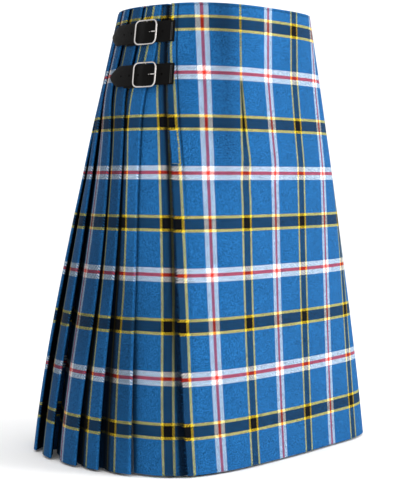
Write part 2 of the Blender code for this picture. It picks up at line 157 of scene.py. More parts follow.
# Over apron: its first white and red stripe (forward of the rightmost point) is
# STRIPE_START + STRIPE_SPREAD * share of the length - STRIPE_CURVE * share squared
STRIPE_START = 0.04528
STRIPE_SPREAD = 0.11001
STRIPE_CURVE = 0.00487
DART = 0.0165               # cloth taken in by the dart at the top
DART_ENDS = (0.095, 0.217)  # it is whole above the first level and gone below the second
# level, free edge to its yellow stripe, free edge to its stitched tuck
EDGE_ZONE = (
    (0.000, 0.0036, 0.0105),
    (0.068, 0.0036, 0.0120),
    (0.112, 0.0088, 0.0138),
    (0.160, 0.0095, 0.0142),
    (0.357, 0.0098, 0.0150),
    (0.610, 0.0092, 0.0150),
)
APRON_COLUMNS = (14, 40, 64)    # from the free edge to the tuck, on to the dart and on to the left fold
FRAYED = (0.1685, 0.2125)   # levels between which the free edge has lost its warp threads
FRAY_STEP = 0.001           # length in which that starts and ends
TURNED_SHADE = 0.6          # painted shade on the turned-under part of the over apron
YELLOW_PLACE = 0.0082       # in the sett, the middle of the yellow stripe by the free edge
FRAYED_PLACE = 0.0125       # in the sett, the colour of the threads that are left where it is frayed
SEAM_GAP = 0.0003           # from a stitched line to the cloth's last column on each side
ROLL_LEVEL = 0.0031         # stitched roll along the top
ROLL_ROWS = [0.0012, 0.0022, ROLL_LEVEL, 0.0040]

UNDER_APRON_DEPTH = 0.0035
UNDER_APRON_EASE = 0.070
UNDER_APRON_END = 0.020
UNDER_APRON_COLOUR = 0.03   # the sett's place at its seam
BAND_HEIGHT = 0.035
BAND_START = 0.0065
BAND_STOP = 0.0010
BAND_COLOUR = 0.02          # the sett's place at its start
# painted shade over the whole waistband
BAND_SHADE = 0.25

# Sett: end of each warp or weft stripe from the middle of the dark one, and its colour's name
SETT_REPEAT = 0.1316
WEFT_REPEAT = 0.1320
SETT = (
    (0.0062, "dark"),
    (0.0102, "yellow"),
    (0.0568, "blue"),
    (0.0635, "white"),
    (0.0681, "red"),
    (0.0748, "white"),
    (0.1214, "blue"),
    (0.1254, "yellow"),
    (0.1316, "dark"),
)
# Its weft, whose dark stripe is a little wider
WEFT = (
    (0.0068, "dark"),
    (0.0108, "yellow"),
    (0.0568, "blue"),
    (0.0636, "white"),
    (0.0684, "red"),
    (0.0752, "white"),
    (0.1212, "blue"),
    (0.1252, "yellow"),
    (0.1320, "dark"),
)
WARP_PARTS = (0.20, 0.72)   # the warp's part of the colour, beneath the weft and on top of it
FIRST_DARK_WEFT = 0.0270    # level of the first dark weft stripe's middle
SCREEN_GAMMA = 2.2
FINE_DYE = 9.0              # how strongly single fibres and broad patches vary in the wool's dye
BROAD_DYE = 0.8
PAINTED_SHADE_DARK = 0.96          # share of the light that full painted shade takes away

# Straps and buckles
STRAP_WIDTH = 0.0286
STRAP_THICK = 0.0018
STRAP_POINT = 0.022
TIP_SHARE = 0.16            # width of the strap's tip against its own
STRAP_BEVEL = 0.45          # share of its thickness that an edge loses
TAB_BEVEL = 0.35
PUFF = 0.0003               # how much thicker a strap is along its middle
TAB_WIDTH = 0.028
TAB_THICK = 0.0024
TAB_LENGTH = 0.048
TAB_START = 0.004
TAB_DROP = 0.0025
FRAME_LENGTH = 0.040
FRAME_HEIGHT = 0.0345
FRAME_WIRE = 0.0024
FRAME_CORNER = 0.007
FRAME_RISE = 0.0068
BAR_RISE = 0.0046
BAR_WIRE = 0.0020
PRONG_WIRE = 0.0020
PRONG_START = 0.0072        # from the centre bar
PRONG_SUNK = 0.0022         # below the strap's face in its hole
CLEARANCE = 0.0003
FIRST_HOLE = 0.0070         # from the buckle's centre towards the strap's root
HOLE_SPACING = 0.0185       # between the strap's holes
STITCH_ROWS = (0.0030, 0.0048)  # from the strap's root
STITCHES = 9                # in a row
STITCH_SPACING = 0.0027
STITCH_HALF = 0.00095       # half a stitch's length
STITCH_RADIUS = 0.00028
STITCH_BOW = 0.0002
NORMAL_STEP = 0.01          # rise that the way out of the cloth is measured over

# Camera, fitted to the kilt's outline
CAMERA_PLACE = (-1.8430, -1.2970, -0.1915)
CAMERA_HEADING = 54.994     # degrees from +Y towards +X
CAMERA_PITCH = 2.209        # degrees downwards
CAMERA_LENS = 120.82        # on a 36 mm long side
FLOOR_GAP = 0.003           # under the hem


def curve_through(table, column, level):
    """Cubic Hermite curve through a table's rows: the slope at a row is the mean of its two chords."""
    rows = np.array(table, float)
    place, value = rows[:, 0], rows[:, column]
    chord = np.diff(value) / np.diff(place)
    slope = np.concatenate((chord[:1], (chord[1:] + chord[:-1]) / 2, chord[-1:]))
    level = np.asarray(level, float)
    row = np.clip(np.searchsorted(place, level, side="right") - 1, 0, len(place) - 2)
    step = place[row + 1] - place[row]
    t = (level - place[row]) / step
    return ((2 * t ** 3 - 3 * t ** 2 + 1) * value[row] + (t ** 3 - 2 * t ** 2 + t) * step * slope[row]
            + (3 * t ** 2 - 2 * t ** 3) * value[row + 1] + (t ** 3 - t ** 2) * step * slope[row + 1])


def cubic_column(table, column, level):
    """The cubic through a table's four rows."""
    rows = np.array(table, float)
    return np.polyval(np.polyfit(rows[:, 0], rows[:, column], 3), level)


def straight_through(table, column, level):
    """Straight lines through a table's rows."""
    rows = np.array(table, float)
    return np.interp(level, rows[:, 0], rows[:, column])


def smoothstep(low, high, value):
    """0 below low, 1 above high, and 3t^2 - 2t^3 between them."""
    t = np.clip((value - low) / (high - low), 0, 1)
    return t * t * (3 - 2 * t)


def bell(value, middle, width):
    """exp(-((value - middle) / width)^2)."""
    return np.exp(-((value - middle) / width) ** 2)


class Outline:
    """The outer outline at each of several levels.

    x = -half width * cos(turn)^(2/n), y = depth * sin(turn)^(2/n), signs kept, with n = 2 at the back
    and the table's squareness in front.
    """

    def __init__(self, levels):
        self.levels = np.asarray(levels, float).reshape(-1, 1)
        half_width, front, back, squareness, shift_x, shift_y = (
            cubic_column(SECTIONS, column, self.levels) for column in range(1, 7))
        turn = np.linspace(0.0, 2 * math.pi, OUTLINE_STEPS + 1)[None]
        cosine = np.cos(turn)
        sine = np.sin(turn)
        at_back = sine >= 0
        power = np.where(at_back, 2 / BACK_SQUARENESS, 2 / squareness)
        reach = np.where(at_back, back, front)
        self.x = -half_width * np.sign(cosine) * np.abs(cosine) ** power + shift_x
        self.y = reach * np.sign(sine) * np.abs(sine) ** power + shift_y - CENTRE_Y
        steps = np.hypot(np.diff(self.x, axis=1), np.diff(self.y, axis=1))
        self.along = np.concatenate((np.zeros((len(self.levels), 1)), np.cumsum(steps, axis=1)), axis=1)
        self.perimeter = self.along[:, -1:]

    def point(self, along):
        """x and y of each row's points, straight between the outline's own."""
        along = np.mod(along, self.perimeter)
        x = np.array([np.interp(a, s, v) for a, s, v in zip(along, self.along, self.x)])
        y = np.array([np.interp(a, s, v) for a, s, v in zip(along, self.along, self.y)])
        return x, y

    def place(self, along, depth):
        """The outline's point, moved by depth along the inward normal, at the height of its level."""
        before = self.point(along - TANGENT_REACH)
        after = self.point(along + TANGENT_REACH)
        tangent_x = after[0] - before[0]
        tangent_y = after[1] - before[1]
        size = np.hypot(tangent_x, tangent_y)
        x, y = self.point(along)
        z = TOP_HEIGHT - DROP_PER_LENGTH * self.levels + 0 * along
        return np.stack((x + depth * tangent_y / size, y - depth * tangent_x / size, z), axis=-1)


def on_cloth(along, level, rise, rows=12):
    """Points this high above the outline: placed on rows of levels, then mixed between the two nearest."""
    along, level, rise = np.broadcast_arrays(along, level, rise)
    low, high = level.min() - 0.001, level.max() + 0.001
    levels = np.linspace(low, high, rows)
    outline = Outline(levels)
    flat = along.reshape(1, -1).repeat(rows, axis=0)
    placed = outline.place(flat, -rise.reshape(1, -1).repeat(rows, axis=0))
    where = (level.reshape(-1) - low) / (high - low) * (rows - 1)
    row = np.clip(where.astype(int), 0, rows - 2)
    part = (where - row)[:, None]
    column = np.arange(where.size)
    points = placed[row, column] * (1 - part) + placed[row + 1, column] * part
    return points.reshape(along.shape + (3,))


def offset_path(along, depth, distance):
    """Each row's path in the plane of along and depth, moved sideways by distance, with mitred corners."""
    points = np.stack((along, depth), axis=-1)
    step = np.diff(points, axis=1)
    step /= np.maximum(np.linalg.norm(step, axis=2, keepdims=True), 1e-9)
    side = np.stack((-step[..., 1], step[..., 0]), axis=-1)
    before = np.concatenate((side[:, :1], side), axis=1)
    after = np.concatenate((side, side[:, -1:]), axis=1)
    mitre = before + after
    mitre /= np.maximum((mitre * before).sum(axis=2, keepdims=True), 0.5)
    moved = points + distance * mitre
    return moved[..., 0], moved[..., 1]


def mesh_object(name, points, faces, material, uv=None, crease=None, angle=40):
    """A mesh object from arrays of points and of four-cornered faces, with its maps by point."""
    mesh = bpy.data.meshes.new(name)
    mesh.vertices.add(len(points))
    mesh.vertices.foreach_set("co", np.asarray(points, np.float32).ravel())
    corners = np.asarray(faces, np.int32)
    mesh.loops.add(corners.size)
    mesh.loops.foreach_set("vertex_index", corners.ravel())
    mesh.polygons.add(len(corners))
    mesh.polygons.foreach_set("loop_start", np.arange(0, corners.size, corners.shape[1], dtype=np.int32))
    mesh.update(calc_edges=True)
    mesh.validate()
    if uv is not None:
        layer = mesh.uv_layers.new(name="cloth")
        order = np.empty(len(mesh.loops), np.int32)
        mesh.loops.foreach_get("vertex_index", order)
        layer.data.foreach_set("uv", np.asarray(uv, np.float32)[order].ravel())
    # a point attribute of painted shade, and below 0 painted highlights, by which the cloth's colour is
    # darkened or lightened
    if crease is not None:
        shade = mesh.attributes.new("crease", "FLOAT", "POINT")
        shade.data.foreach_set("value", np.asarray(crease, np.float32).ravel())
    shape = bmesh.new()
    shape.from_mesh(mesh)
    bmesh.ops.recalc_face_normals(shape, faces=shape.faces)
    shape.to_mesh(mesh)
    shape.free()
    mesh.shade_smooth()
    mesh.set_sharp_from_angle(angle=math.radians(angle))
    mesh.materials.append(material)
    obj = bpy.data.objects.new(name, mesh)
    bpy.context.scene.collection.objects.link(obj)
    return obj


def grid_faces(rows, columns, start=0, wrap=False):
    """Corners of the faces of a grid of points, its last column joined to the first where it wraps."""
    r = np.arange(rows - 1)[:, None]
    c = np.arange(columns if wrap else columns - 1)[None]
    following = (c + 1) % columns
    quads = np.stack(np.broadcast_arrays(r * columns + c, r * columns + following,
                                         (r + 1) * columns + following, (r + 1) * columns + c), axis=-1)
    return quads.reshape(-1, 4) + start


def closed_sheet(name, front, back, material, uv=None, crease=None, angle=40):
    """A closed wall between two grids of points, with a rim all round."""
    rows, columns = front.shape[:2]
    count = rows * columns
    index = np.arange(count).reshape(rows, columns)
    rim = np.concatenate((index[0, :-1], index[:-1, -1], index[-1, :0:-1], index[:0:-1, 0]))
    after = np.roll(rim, -1)
    sides = np.stack((rim + count, after + count, after, rim), axis=-1)
    back_faces = grid_faces(rows, columns, count)[:, ::-1]
    faces = np.concatenate((grid_faces(rows, columns), back_faces, sides))
    points = np.concatenate((front.reshape(-1, 3), back.reshape(-1, 3)))
    both_uv = None if uv is None else np.concatenate((uv.reshape(-1, 2),) * 2)
    both_painted_shade = None if crease is None else np.concatenate((crease.ravel(),) * 2)
    return mesh_object(name, points, faces, material, both_uv, both_painted_shade, angle)


def wire(path, normals, radii, sides, closed):
    """Points and faces of a round wire: each station is a circle of the path's normal and binormal."""
    ahead = np.roll(path, -1, axis=0)
    behind = np.roll(path, 1, axis=0)
    tangent = ahead - behind
    if not closed:
        tangent[0] = path[1] - path[0]
        tangent[-1] = path[-1] - path[-2]
    tangent /= np.linalg.norm(tangent, axis=1, keepdims=True)
    normal = normals - (normals * tangent).sum(axis=1, keepdims=True) * tangent
    normal /= np.linalg.norm(normal, axis=1, keepdims=True)
    binormal = np.cross(tangent, normal)
    turn = np.linspace(0, 2 * math.pi, sides, endpoint=False)
    ring = normal[:, None] * np.cos(turn)[:, None] + binormal[:, None] * np.sin(turn)[:, None]
    points = path[:, None] + ring * np.asarray(radii, float).reshape(-1, 1, 1)
    count = len(path)
    faces = grid_faces(count, sides, wrap=True)
    if closed:
        last = (count - 1) * sides + np.arange(sides)
        first = np.arange(sides)
        faces = np.concatenate((faces, np.stack((last, np.roll(last, -1), np.roll(first, -1), first), axis=-1)))
    return points.reshape(-1, 3), faces


def fold_edges(outline):
    """Where the fold edges lie on each row: 0 under the over apron, the last the over apron's left fold."""
    levels = outline.levels
    free_edge = curve_through(PLEAT_TABLE, 1, levels)
    first = curve_through(PLEAT_TABLE, 2, levels)
    last = outline.perimeter - curve_through(PLEAT_TABLE, 3, levels)
    weighted = len(REVEAL_WEIGHTS[0])
    weights = [curve_through(REVEAL_WEIGHTS, strip, levels) for strip in range(1, weighted)]
    weights = np.concatenate(weights + [np.ones((len(levels), PLEATS - weighted))], axis=1)
    reveals = weights * (last - first) / weights.sum(axis=1, keepdims=True)
    # Hand-pressed folds wander a little, more towards the hem.
    strips = np.arange(2, PLEATS + 1)[None]
    wander = FOLD_WANDER * np.sin(2.1 * strips + 9.0 * levels + 1.7 * np.sin(1.3 * strips))
    wander = wander * smoothstep(0.15, LENGTH, levels) * ((strips >= weighted) & (strips < PLEATS))
    shown = first + np.cumsum(reveals, axis=1) + wander
    return np.concatenate((free_edge - FIRST_FOLD_TUCK, first, shown), axis=1)


class Pleats:
    """Sizes of the pleats, a row for each level and a column for each fold edge or strip."""

    def __init__(self, outline):
        self.levels = outline.levels
        self.edges = fold_edges(outline)
        self.slope, allowed, self.first_depth = (
            curve_through(PLEAT_TABLE, column, self.levels) for column in (4, 5, 6))
        reveals = np.diff(self.edges, axis=1)
        take_ups = np.array([FIRST_TAKE_UPS.get(k, CLOTH_PER_PLEAT) for k in range(PLEATS)])
        self.hidden = np.minimum((take_ups - reveals) / 2, allowed)
        self.hidden[:, 0] = np.minimum((CLOTH_PER_PLEAT - reveals[:, 1]) / 2, allowed[:, 0])
        self.hidden[:, -1] = FLANGE
        self.spacing = self.slope * reveals
        self.spacing[:, 0] = self.slope[:, 0] * reveals[:, 1:].mean(axis=1)
        # The sett's place at each fold edge
        steps = [FIRST_COLOUR_STEPS.get(k, CLOTH_PER_PLEAT) for k in range(1, PLEATS)]
        self.colour = np.cumsum([0.0, FIRST_FOLD_COLOUR] + steps) + 0 * self.edges
        self.colour[:, :1] = self.edges[:, :1] - curve_through(STRIP_ZERO_STRIPE, 1, self.levels)
        self.colour[:, 1:2] += straight_through(FOLD_DRIFT, 1, self.levels)
        # The third strip's white stripes stay in sight where the strip narrows.
        self.colour[:, 3] += np.maximum(THIRD_STRIPE - THIRD_SHARE * reveals[:, 3], 0)

    def depth(self, k, along):
        """Strip k slopes inwards from its own fold edge, and strip 0 lies flat under the over apron."""
        edge = self.edges[:, k, None]
        after = self.edges[:, k + 1, None]
        if k == 0:
            share = np.clip((along - edge) / (after - edge), 0, 1)
            visible = self.first_depth + (self.spacing[:, :1] - self.first_depth) * share
            return HALF + visible + self.slope * np.maximum(along - after, 0)
        if k == PLEATS - 1:
            along = np.minimum(along, after)
        return HALF + self.slope * (along - edge)

    def lift(self, k):
        """How far fold edge k stands off at each level: a part of FOLD_LIFT that differs from fold to fold."""
        if k < 1 or k > PLEATS - 1:
            return 0 * self.levels
        part = 0.5 + 0.5 * math.sin(2.7 * k + 1.1)
        wave = 1 + 0.35 * np.sin(11 * self.levels + 1.9 * k)
        return FOLD_LIFT * part * wave * smoothstep(0.16, LENGTH, self.levels)

    def shown_depth(self, k, share, along):
        """Depth of strip k where it shows: crowned as half a sine, and flat before it dips into the mouth.

        The dip is the share across less a power of it, which changes down the cloth.
        """
        crown = CROWN + CROWN_GROWTH * smoothstep(0.1, LENGTH, self.levels)
        depth = self.depth(k, along) - crown * np.sin(math.pi * share) - self.lift(k) * (1 - share)
        if 0 < k < PLEATS - 1:
            power = 1 + 1.4 * smoothstep(0.14, 0.36, self.levels)
            power = power + 2.6 * (1 - smoothstep(0.10, 0.24, self.levels))
            depth = depth - self.spacing[:, k, None] * (share - share ** power)
        return np.maximum(depth, np.where(self.levels < 0.14, HALF, -0.01))

    def strip_shade(self, k, share, along):
        """Painted shade of strip k where it shows: in the next fold's mouth and the soft painted shade of
        STRIP_SHADE, less a painted highlight along its own fold edge.
        """
        if k == 0:
            return self.first_shade(share, along)
        levels = self.levels
        start = MOUTH_START - MOUTH_GROWTH * smoothstep(0.15, 0.50, levels)
        mouth = smoothstep(start, start + MOUTH_SOFTNESS, share) * smoothstep(0.13, 0.24, levels)
        slight = 0.5 * smoothstep(0.80, 1.0, share) * smoothstep(0.02, 0.10, levels)
        soft = straight_through(STRIP_SHADE, k, levels) if k < len(STRIP_SHADE[0]) else OTHER_STRIPS_SHADE
        edge_light = (0.75 if k == 1 else 0.5) * bell(along, self.edges[:, k, None], EDGE_LIGHT_REACH)
        return np.maximum(np.maximum(mouth, slight), soft) - edge_light

    def first_shade(self, share, along):
        """Painted shade of strip 0: a painted shadow beside the over apron, painted light at the top, painted
        shade towards the hem.
        """
        levels = self.levels
        reach = along - self.edges[:, :1] - FIRST_FOLD_TUCK
        lap = 1 - smoothstep(LAP_SHADE - 0.003, LAP_SHADE + 0.003, reach)
        lit = -0.24 * smoothstep(0.3, 0.5, share) * (1 - smoothstep(0.28, 0.40, levels))
        dull = 0.32 * (1 - smoothstep(0.3, 0.6, share)) * smoothstep(0.28, 0.38, levels)
        low = smoothstep(0.38, 0.50, levels)
        end = 0.5 * smoothstep(0.955, 1.0, share) * low - 0.6 * smoothstep(0.93, 1.0, share) * (1 - low)
        # painted shadow that reaches further from the over apron's edge, between the straps
        wide_lap_shade = 0.6 * bell(levels, 0.068, 0.017) * (1 - smoothstep(0.018, 0.024, reach))
        return (lit + dull + end + wide_lap_shade) * (1 - lap) + LAP_DARK * lap


def span(start, stop, count, skip_first=False):
    """Equal steps between two columns of values, one row each."""
    share = np.linspace(0, 1, count)[None]
    return (start + (stop - start) * share)[:, 1 if skip_first else 0:]


def join_rows(parts):
    """Along, depth, colour place and painted shade of a cloth's parts, side by side in one grid for each
    measure.
    """
    grids = [np.stack(np.broadcast_arrays(*part), axis=-1) for part in parts]
    return np.moveaxis(np.concatenate(grids, axis=1), -1, 0)


def pleat_rows(outline):
    """Along, depth, colour place and painted shade of the pleated cloth's middle line on each row.

    Each strip runs from its fold edge down under the next, doubles back beneath it, and turns round
    that fold edge in half a circle, whose radius is a quarter of the strips' spacing or half of PRESSED.
    """
    pleats = Pleats(outline)
    angle = np.radians(np.linspace(90, -90, 7))[None]

    # Round a fold, painted shade falls from full on its inner side to none on its outer side.
    def fold(k, base, spacing):
        radius = np.minimum(spacing / 4, PRESSED / 2)
        return (pleats.edges[:, k, None] + radius * (1 - np.cos(angle)),
                base + radius * (1 + np.sin(angle)) - pleats.lift(k),
                pleats.colour[:, k, None] - radius * np.sin(angle), (0.5 + 0.5 * np.sin(angle)) ** 2)

    first = pleats.edges[:, :1]
    start = span(first + FLANGE, first + 0.006, 6)
    # the turned-back start under the over apron, in painted shade that is full near fold 0 and lighter further
    # off
    parts = [(start, pleats.depth(0, start) + pleats.spacing[:, :1] / 2, pleats.colour[:, :1] - (start - first),
              1 - INSIDE_LIGHT * smoothstep(0.010, 0.018, start - first)),
             fold(0, HALF + pleats.first_depth, pleats.spacing[:, :1])]
    for k in range(PLEATS):
        edge, after = pleats.edges[:, k, None], pleats.edges[:, k + 1, None]
        hidden = pleats.hidden[:, k, None]
        spacing = pleats.spacing[:, k, None]
        colour = pleats.colour[:, k, None] - edge
        last = k == PLEATS - 1
        # the strip where it shows
        columns = FIRST_STRIP_COLUMNS if k == 0 else STRIP_COLUMNS
        share = np.concatenate((EDGE_COLUMNS, np.linspace(0, 1, columns)[1:]))[None]
        along = edge + (after - edge) * share
        parts.append((along, pleats.shown_depth(k, share, along), colour + along,
                      pleats.strip_shade(k, share, along)))
        # on under the next strip, in painted shade that grows lighter further in
        along = span(after, after + hidden, 6 if last else 3, skip_first=True)
        parts.append((along, pleats.depth(k, along), colour + along,
                      1 - INSIDE_LIGHT * smoothstep(0.1, 0.5, (along - after) / hidden)))
        if last:
            break
        # back to the next fold edge, in painted shade that is lighter deep inside
        share = np.array(BACK_COLUMNS)[None]
        inner = hidden * share
        pressed = np.minimum(spacing / 2, PRESSED)
        apart = pressed + (spacing / 2 - pressed) * smoothstep(0, 0.45, share)
        parts.append((after + inner, HALF + pleats.slope * inner + apart - pleats.lift(k + 1) * (1 - share),
                      pleats.colour[:, k + 1, None] - inner, 1 - INSIDE_LIGHT * smoothstep(0.3, 0.7, share)))
        parts.append(fold(k + 1, HALF, spacing))
    return join_rows(parts)


def apron_waves(forward, level):
    """Outward swell of the over apron: long waves that grow to the hem, and soft dents."""
    growth = smoothstep(0.13, LENGTH, level)
    waves = 0.0011 * np.sin(2 * math.pi * forward / 0.29 + 0.9 + 2.0 * level)
    waves += 0.0006 * np.sin(2 * math.pi * forward / 0.155 + 2.4 - 3.0 * level)
    lap = 0.0010 * (bell(level, 0.205, 0.016) - bell(level, 0.238, 0.018)) * bell(forward, 0.15, 0.10)
    pull = -0.0008 * bell(forward, 0.078, 0.014) * bell(level, 0.062, 0.026)
    pull += -0.0005 * bell(forward, 0.058, 0.006) * bell(level, 0.045, 0.03)
    tug = 0.0005 * bell(forward, 0.035, 0.02) * bell(level, 0.128, 0.02)
    return waves * growth + lap + pull + tug * np.sin((forward - 0.35 * level) / 0.011)


def apron_shade(place, levels):
    """Soft painted shade by the dart and painted light beside it, at the over apron's top, at a place in half
    repeats.
    """
    dark = 0.48 * bell(place, 0.47, 0.33) * (1 - 0.25 * smoothstep(0.05, 0.09, levels))
    dark = dark * (1 - smoothstep(0.16, 0.29, levels))
    light = 0.20 * bell(place, -0.43, 0.22) * (1 - smoothstep(0.04, 0.10, levels))
    light = light + 0.15 * bell(place, 1.7, 0.45) * (1 - smoothstep(0.05, 0.12, levels))
    return dark - light


def over_apron_rows(outline):
    """Along, depth, colour place and painted shade of the over apron, from its free edge to its turned-under
    end.

    Forward is the length round the front, from the rightmost point.
    """
    levels = outline.levels
    share = levels / LENGTH
    straight_edge = -curve_through(PLEAT_TABLE, 1, levels)
    free_edge = straight_edge + 0.0004 * np.sin(levels * 2100) + 0.0003 * np.sin(levels * 1270 + 1)
    yellow, tuck = (straight_edge + curve_through(EDGE_ZONE, column, levels) for column in (1, 2))
    stripe = STRIPE_START + STRIPE_SPREAD * share - STRIPE_CURVE * share ** 2
    taken = DART * (1 - np.clip((levels - DART_ENDS[0]) / (DART_ENDS[1] - DART_ENDS[0]), 0, 1))
    half_repeat = SETT_REPEAT / 2
    dart = stripe + half_repeat - taken / 2
    pleats = Pleats(outline)
    left = pleats.edges[:, -1:]
    spacing = pleats.spacing[:, -1:]
    edge = span(free_edge, tuck - SEAM_GAP, APRON_COLUMNS[0])
    middle = span(tuck + SEAM_GAP, dart - SEAM_GAP, APRON_COLUMNS[1])
    far = span(dart + SEAM_GAP, outline.perimeter - left - spacing / 4, APRON_COLUMNS[2])
    forward = np.concatenate((edge, middle, far), axis=1)

    edge_colour = edge - yellow + YELLOW_PLACE
    started, ended = (smoothstep(level, level + FRAY_STEP, levels) for level in FRAYED)
    edge_colour += (started - ended) * np.where(edge_colour < YELLOW_PLACE, FRAYED_PLACE - edge_colour, 0)
    colours = (edge_colour, half_repeat + middle - stripe, half_repeat + far - stripe + taken)
    colour = np.concatenate(colours, axis=1)

    # Painted shade along the stitched tuck, in the dart's wedge and along the top roll, where grooves and folds
    # lie in shade; the tuck, dart and roll also dent the cloth a little.
    tuck_line = bell(forward, tuck, 0.0009) * (1 - 0.75 * smoothstep(0.15, 0.30, levels))
    wedge = smoothstep(0.092, 0.110, levels) * (1 - smoothstep(0.150, 0.205, levels))
    dart_line = bell(forward, dart, 0.0006 + 0.0022 * wedge) * (taken > 0.0002) * wedge
    roll = bell(levels, ROLL_LEVEL, 0.0009) * 0.55
    depth = HALF - apron_waves(forward, levels)
    depth = depth + 0.0005 * tuck_line * (levels < 0.3) + 0.0003 * (dart_line + roll)
    crease = np.maximum(np.maximum(tuck_line, dart_line), roll) * 0.9
    # with the soft painted shade and painted light of the apron's top
    soft = apron_shade((forward - stripe) / half_repeat, levels)
    crease = np.where(crease > 0.3, np.maximum(crease, soft), crease + soft)

    angle = np.radians(np.linspace(-90, 90, 9))[None]
    turned = spacing / 4 * (1 + np.sin(angle))
    under = span(left + 0.0004, left + FLANGE, 6, skip_first=True)
    under_depth = span(HALF + spacing / 2, spacing - HALF - WALL_GAP, 6, skip_first=True)
    return join_rows((
        (outline.perimeter - forward, depth, colour, crease),
        (left + spacing / 4 * (1 - np.cos(angle)), HALF + turned, colour[:, -1:] + turned, 0.0),
        (under, under_depth, colour[:, -1:] + turned[:, -1:] + under - left, TURNED_SHADE)))


def under_apron_rows(outline):
    """Along, depth, colour place and painted shade, which is none, of the under apron, from its seam to its
    free edge.
    """
    pleats = Pleats(outline)
    first, last = pleats.edges[:, :1], pleats.edges[:, -1:]
    right = first + FLANGE + outline.perimeter
    along = span(right, last + UNDER_APRON_END, 72)
    from_right = right - FLANGE - along
    from_left = along - (last + FLANGE)
    deep_right = pleats.depth(0, first + FLANGE) + pleats.spacing[:, :1] / 2 + 2 * HALF + WALL_GAP
    deep_left = pleats.spacing[:, -1:] + 5 * HALF
    near_right = (deep_right - UNDER_APRON_DEPTH) * (1 - smoothstep(0, UNDER_APRON_EASE, from_right))
    near_left = (deep_left - UNDER_APRON_DEPTH) * (1 - smoothstep(0, UNDER_APRON_EASE, from_left))
    growth = smoothstep(0.15, LENGTH, pleats.levels) * smoothstep(0, 0.1, from_right)
    waves = growth * (0.0012 + 0.0009 * np.sin(along / 0.035))
    depth = UNDER_APRON_DEPTH + np.maximum(near_right, near_left) + waves
    return along, depth, right - along + UNDER_APRON_COLOUR, 0 * along


def cloth_piece(name, path_rows, levels, material, drop=0.0):
    """A wall of cloth through the rows' middle lines, half a wall to each side."""
    outline = Outline(levels)
    along, depth, colour, crease = path_rows(outline)
    front = outline.place(*offset_path(along, depth, HALF))
    back = outline.place(*offset_path(along, depth, -HALF))
    down = outline.levels + drop + 0 * along
    return closed_sheet(name, front, back, material, np.stack((colour, down), axis=-1), crease, angle=50)


# Node helpers

NUMBER = "NodeSocketFloat"
COLOUR = "NodeSocketColor"
PLACE = "NodeSocketVector"


class Nodes:
    """A node tree, with short calls for the nodes that the looks are made of."""

    def __init__(self, tree):
        self.tree = tree

    def feed(self, node, values):
        """Each value goes to the node's input of that name or number, linked if it is a socket."""
        for key, value in values.items():
            if isinstance(value, (int, float, tuple)):
                node.inputs[key].default_value = value
            else:
                self.tree.links.new(value, node.inputs[key])

    def make(self, kind, values=(), **settings):
        """The outputs of a new node with these settings and inputs."""
        node = self.tree.nodes.new(kind)
        for name, value in settings.items():
            setattr(node, name, value)
        self.feed(node, dict(values))
        return node.outputs

    def math(self, operation, *values):
        return self.make("ShaderNodeMath", enumerate(values), operation=operation)[0]

    def mix(self, factor, first, second, blend="MIX"):
        values = {0: factor, 6: first, 7: second}
        return self.make("ShaderNodeMix", values, data_type="RGBA", blend_type=blend)[2]

    def gamma(self, colour, power):
        return self.make("ShaderNodeGamma", {"Color": colour, "Gamma": power})["Color"]

    def noise(self, place, scale, detail, roughness):
        values = {"Vector": place, "Scale": scale, "Detail": detail, "Roughness": roughness}
        return self.make("ShaderNodeTexNoise", values)["Fac"]

    def group(self, name, values):
        return self.make("ShaderNodeGroup", values, node_tree=bpy.data.node_groups[name])

    def bump(self, height, distance, strength):
        values = {"Height": height, "Distance": distance, "Strength": strength}
        return self.make("ShaderNodeBump", values)["Normal"]

    def object_place(self):
        """The place on the object, in its own metres."""
        return self.make("ShaderNodeTexCoord")["Object"]


def new_material(name):
    """A material, its nodes and its shader."""
    mat = bpy.data.materials.new(name)
    mat.use_nodes = True
    return mat, Nodes(mat.node_tree), mat.node_tree.nodes["Principled BSDF"]


def group_tree(name, inputs, outputs):
    """A shader node group with sockets of these names and types: its nodes, what is given, its output node."""
    tree = bpy.data.node_groups.new(name, "ShaderNodeTree")
    for way, sockets in (("INPUT", inputs), ("OUTPUT", outputs)):
        for title, kind in sockets.items():
            tree.interface.new_socket(title, in_out=way, socket_type=kind)
    return Nodes(tree), tree.nodes.new("NodeGroupInput").outputs, tree.nodes.new("NodeGroupOutput")


def build_sett(name, stripes, repeat, colours):
    """Group: the colour of the thread at a distance across the cloth, from the sett's stripe widths."""
    nodes, given, out = group_tree(name, {"Distance": NUMBER}, {"Colour": COLOUR})
    ramp = nodes.tree.nodes.new("ShaderNodeValToRGB")
    ramp.color_ramp.interpolation = "CONSTANT"
    stops = ramp.color_ramp.elements
    starts = [0.0] + [end / repeat for end, _ in stripes[:-1]]
    while len(stops) < len(stripes):
        stops.new(1.0)
    for stop, start, (_, colour) in zip(stops, starts, stripes):
        stop.position = start
        stop.color = (*colours[colour], 1.0)
    nodes.feed(ramp, {"Fac": nodes.math("FRACT", nodes.math("DIVIDE", given["Distance"], repeat))})
    nodes.feed(out, {"Colour": ramp.outputs["Color"]})


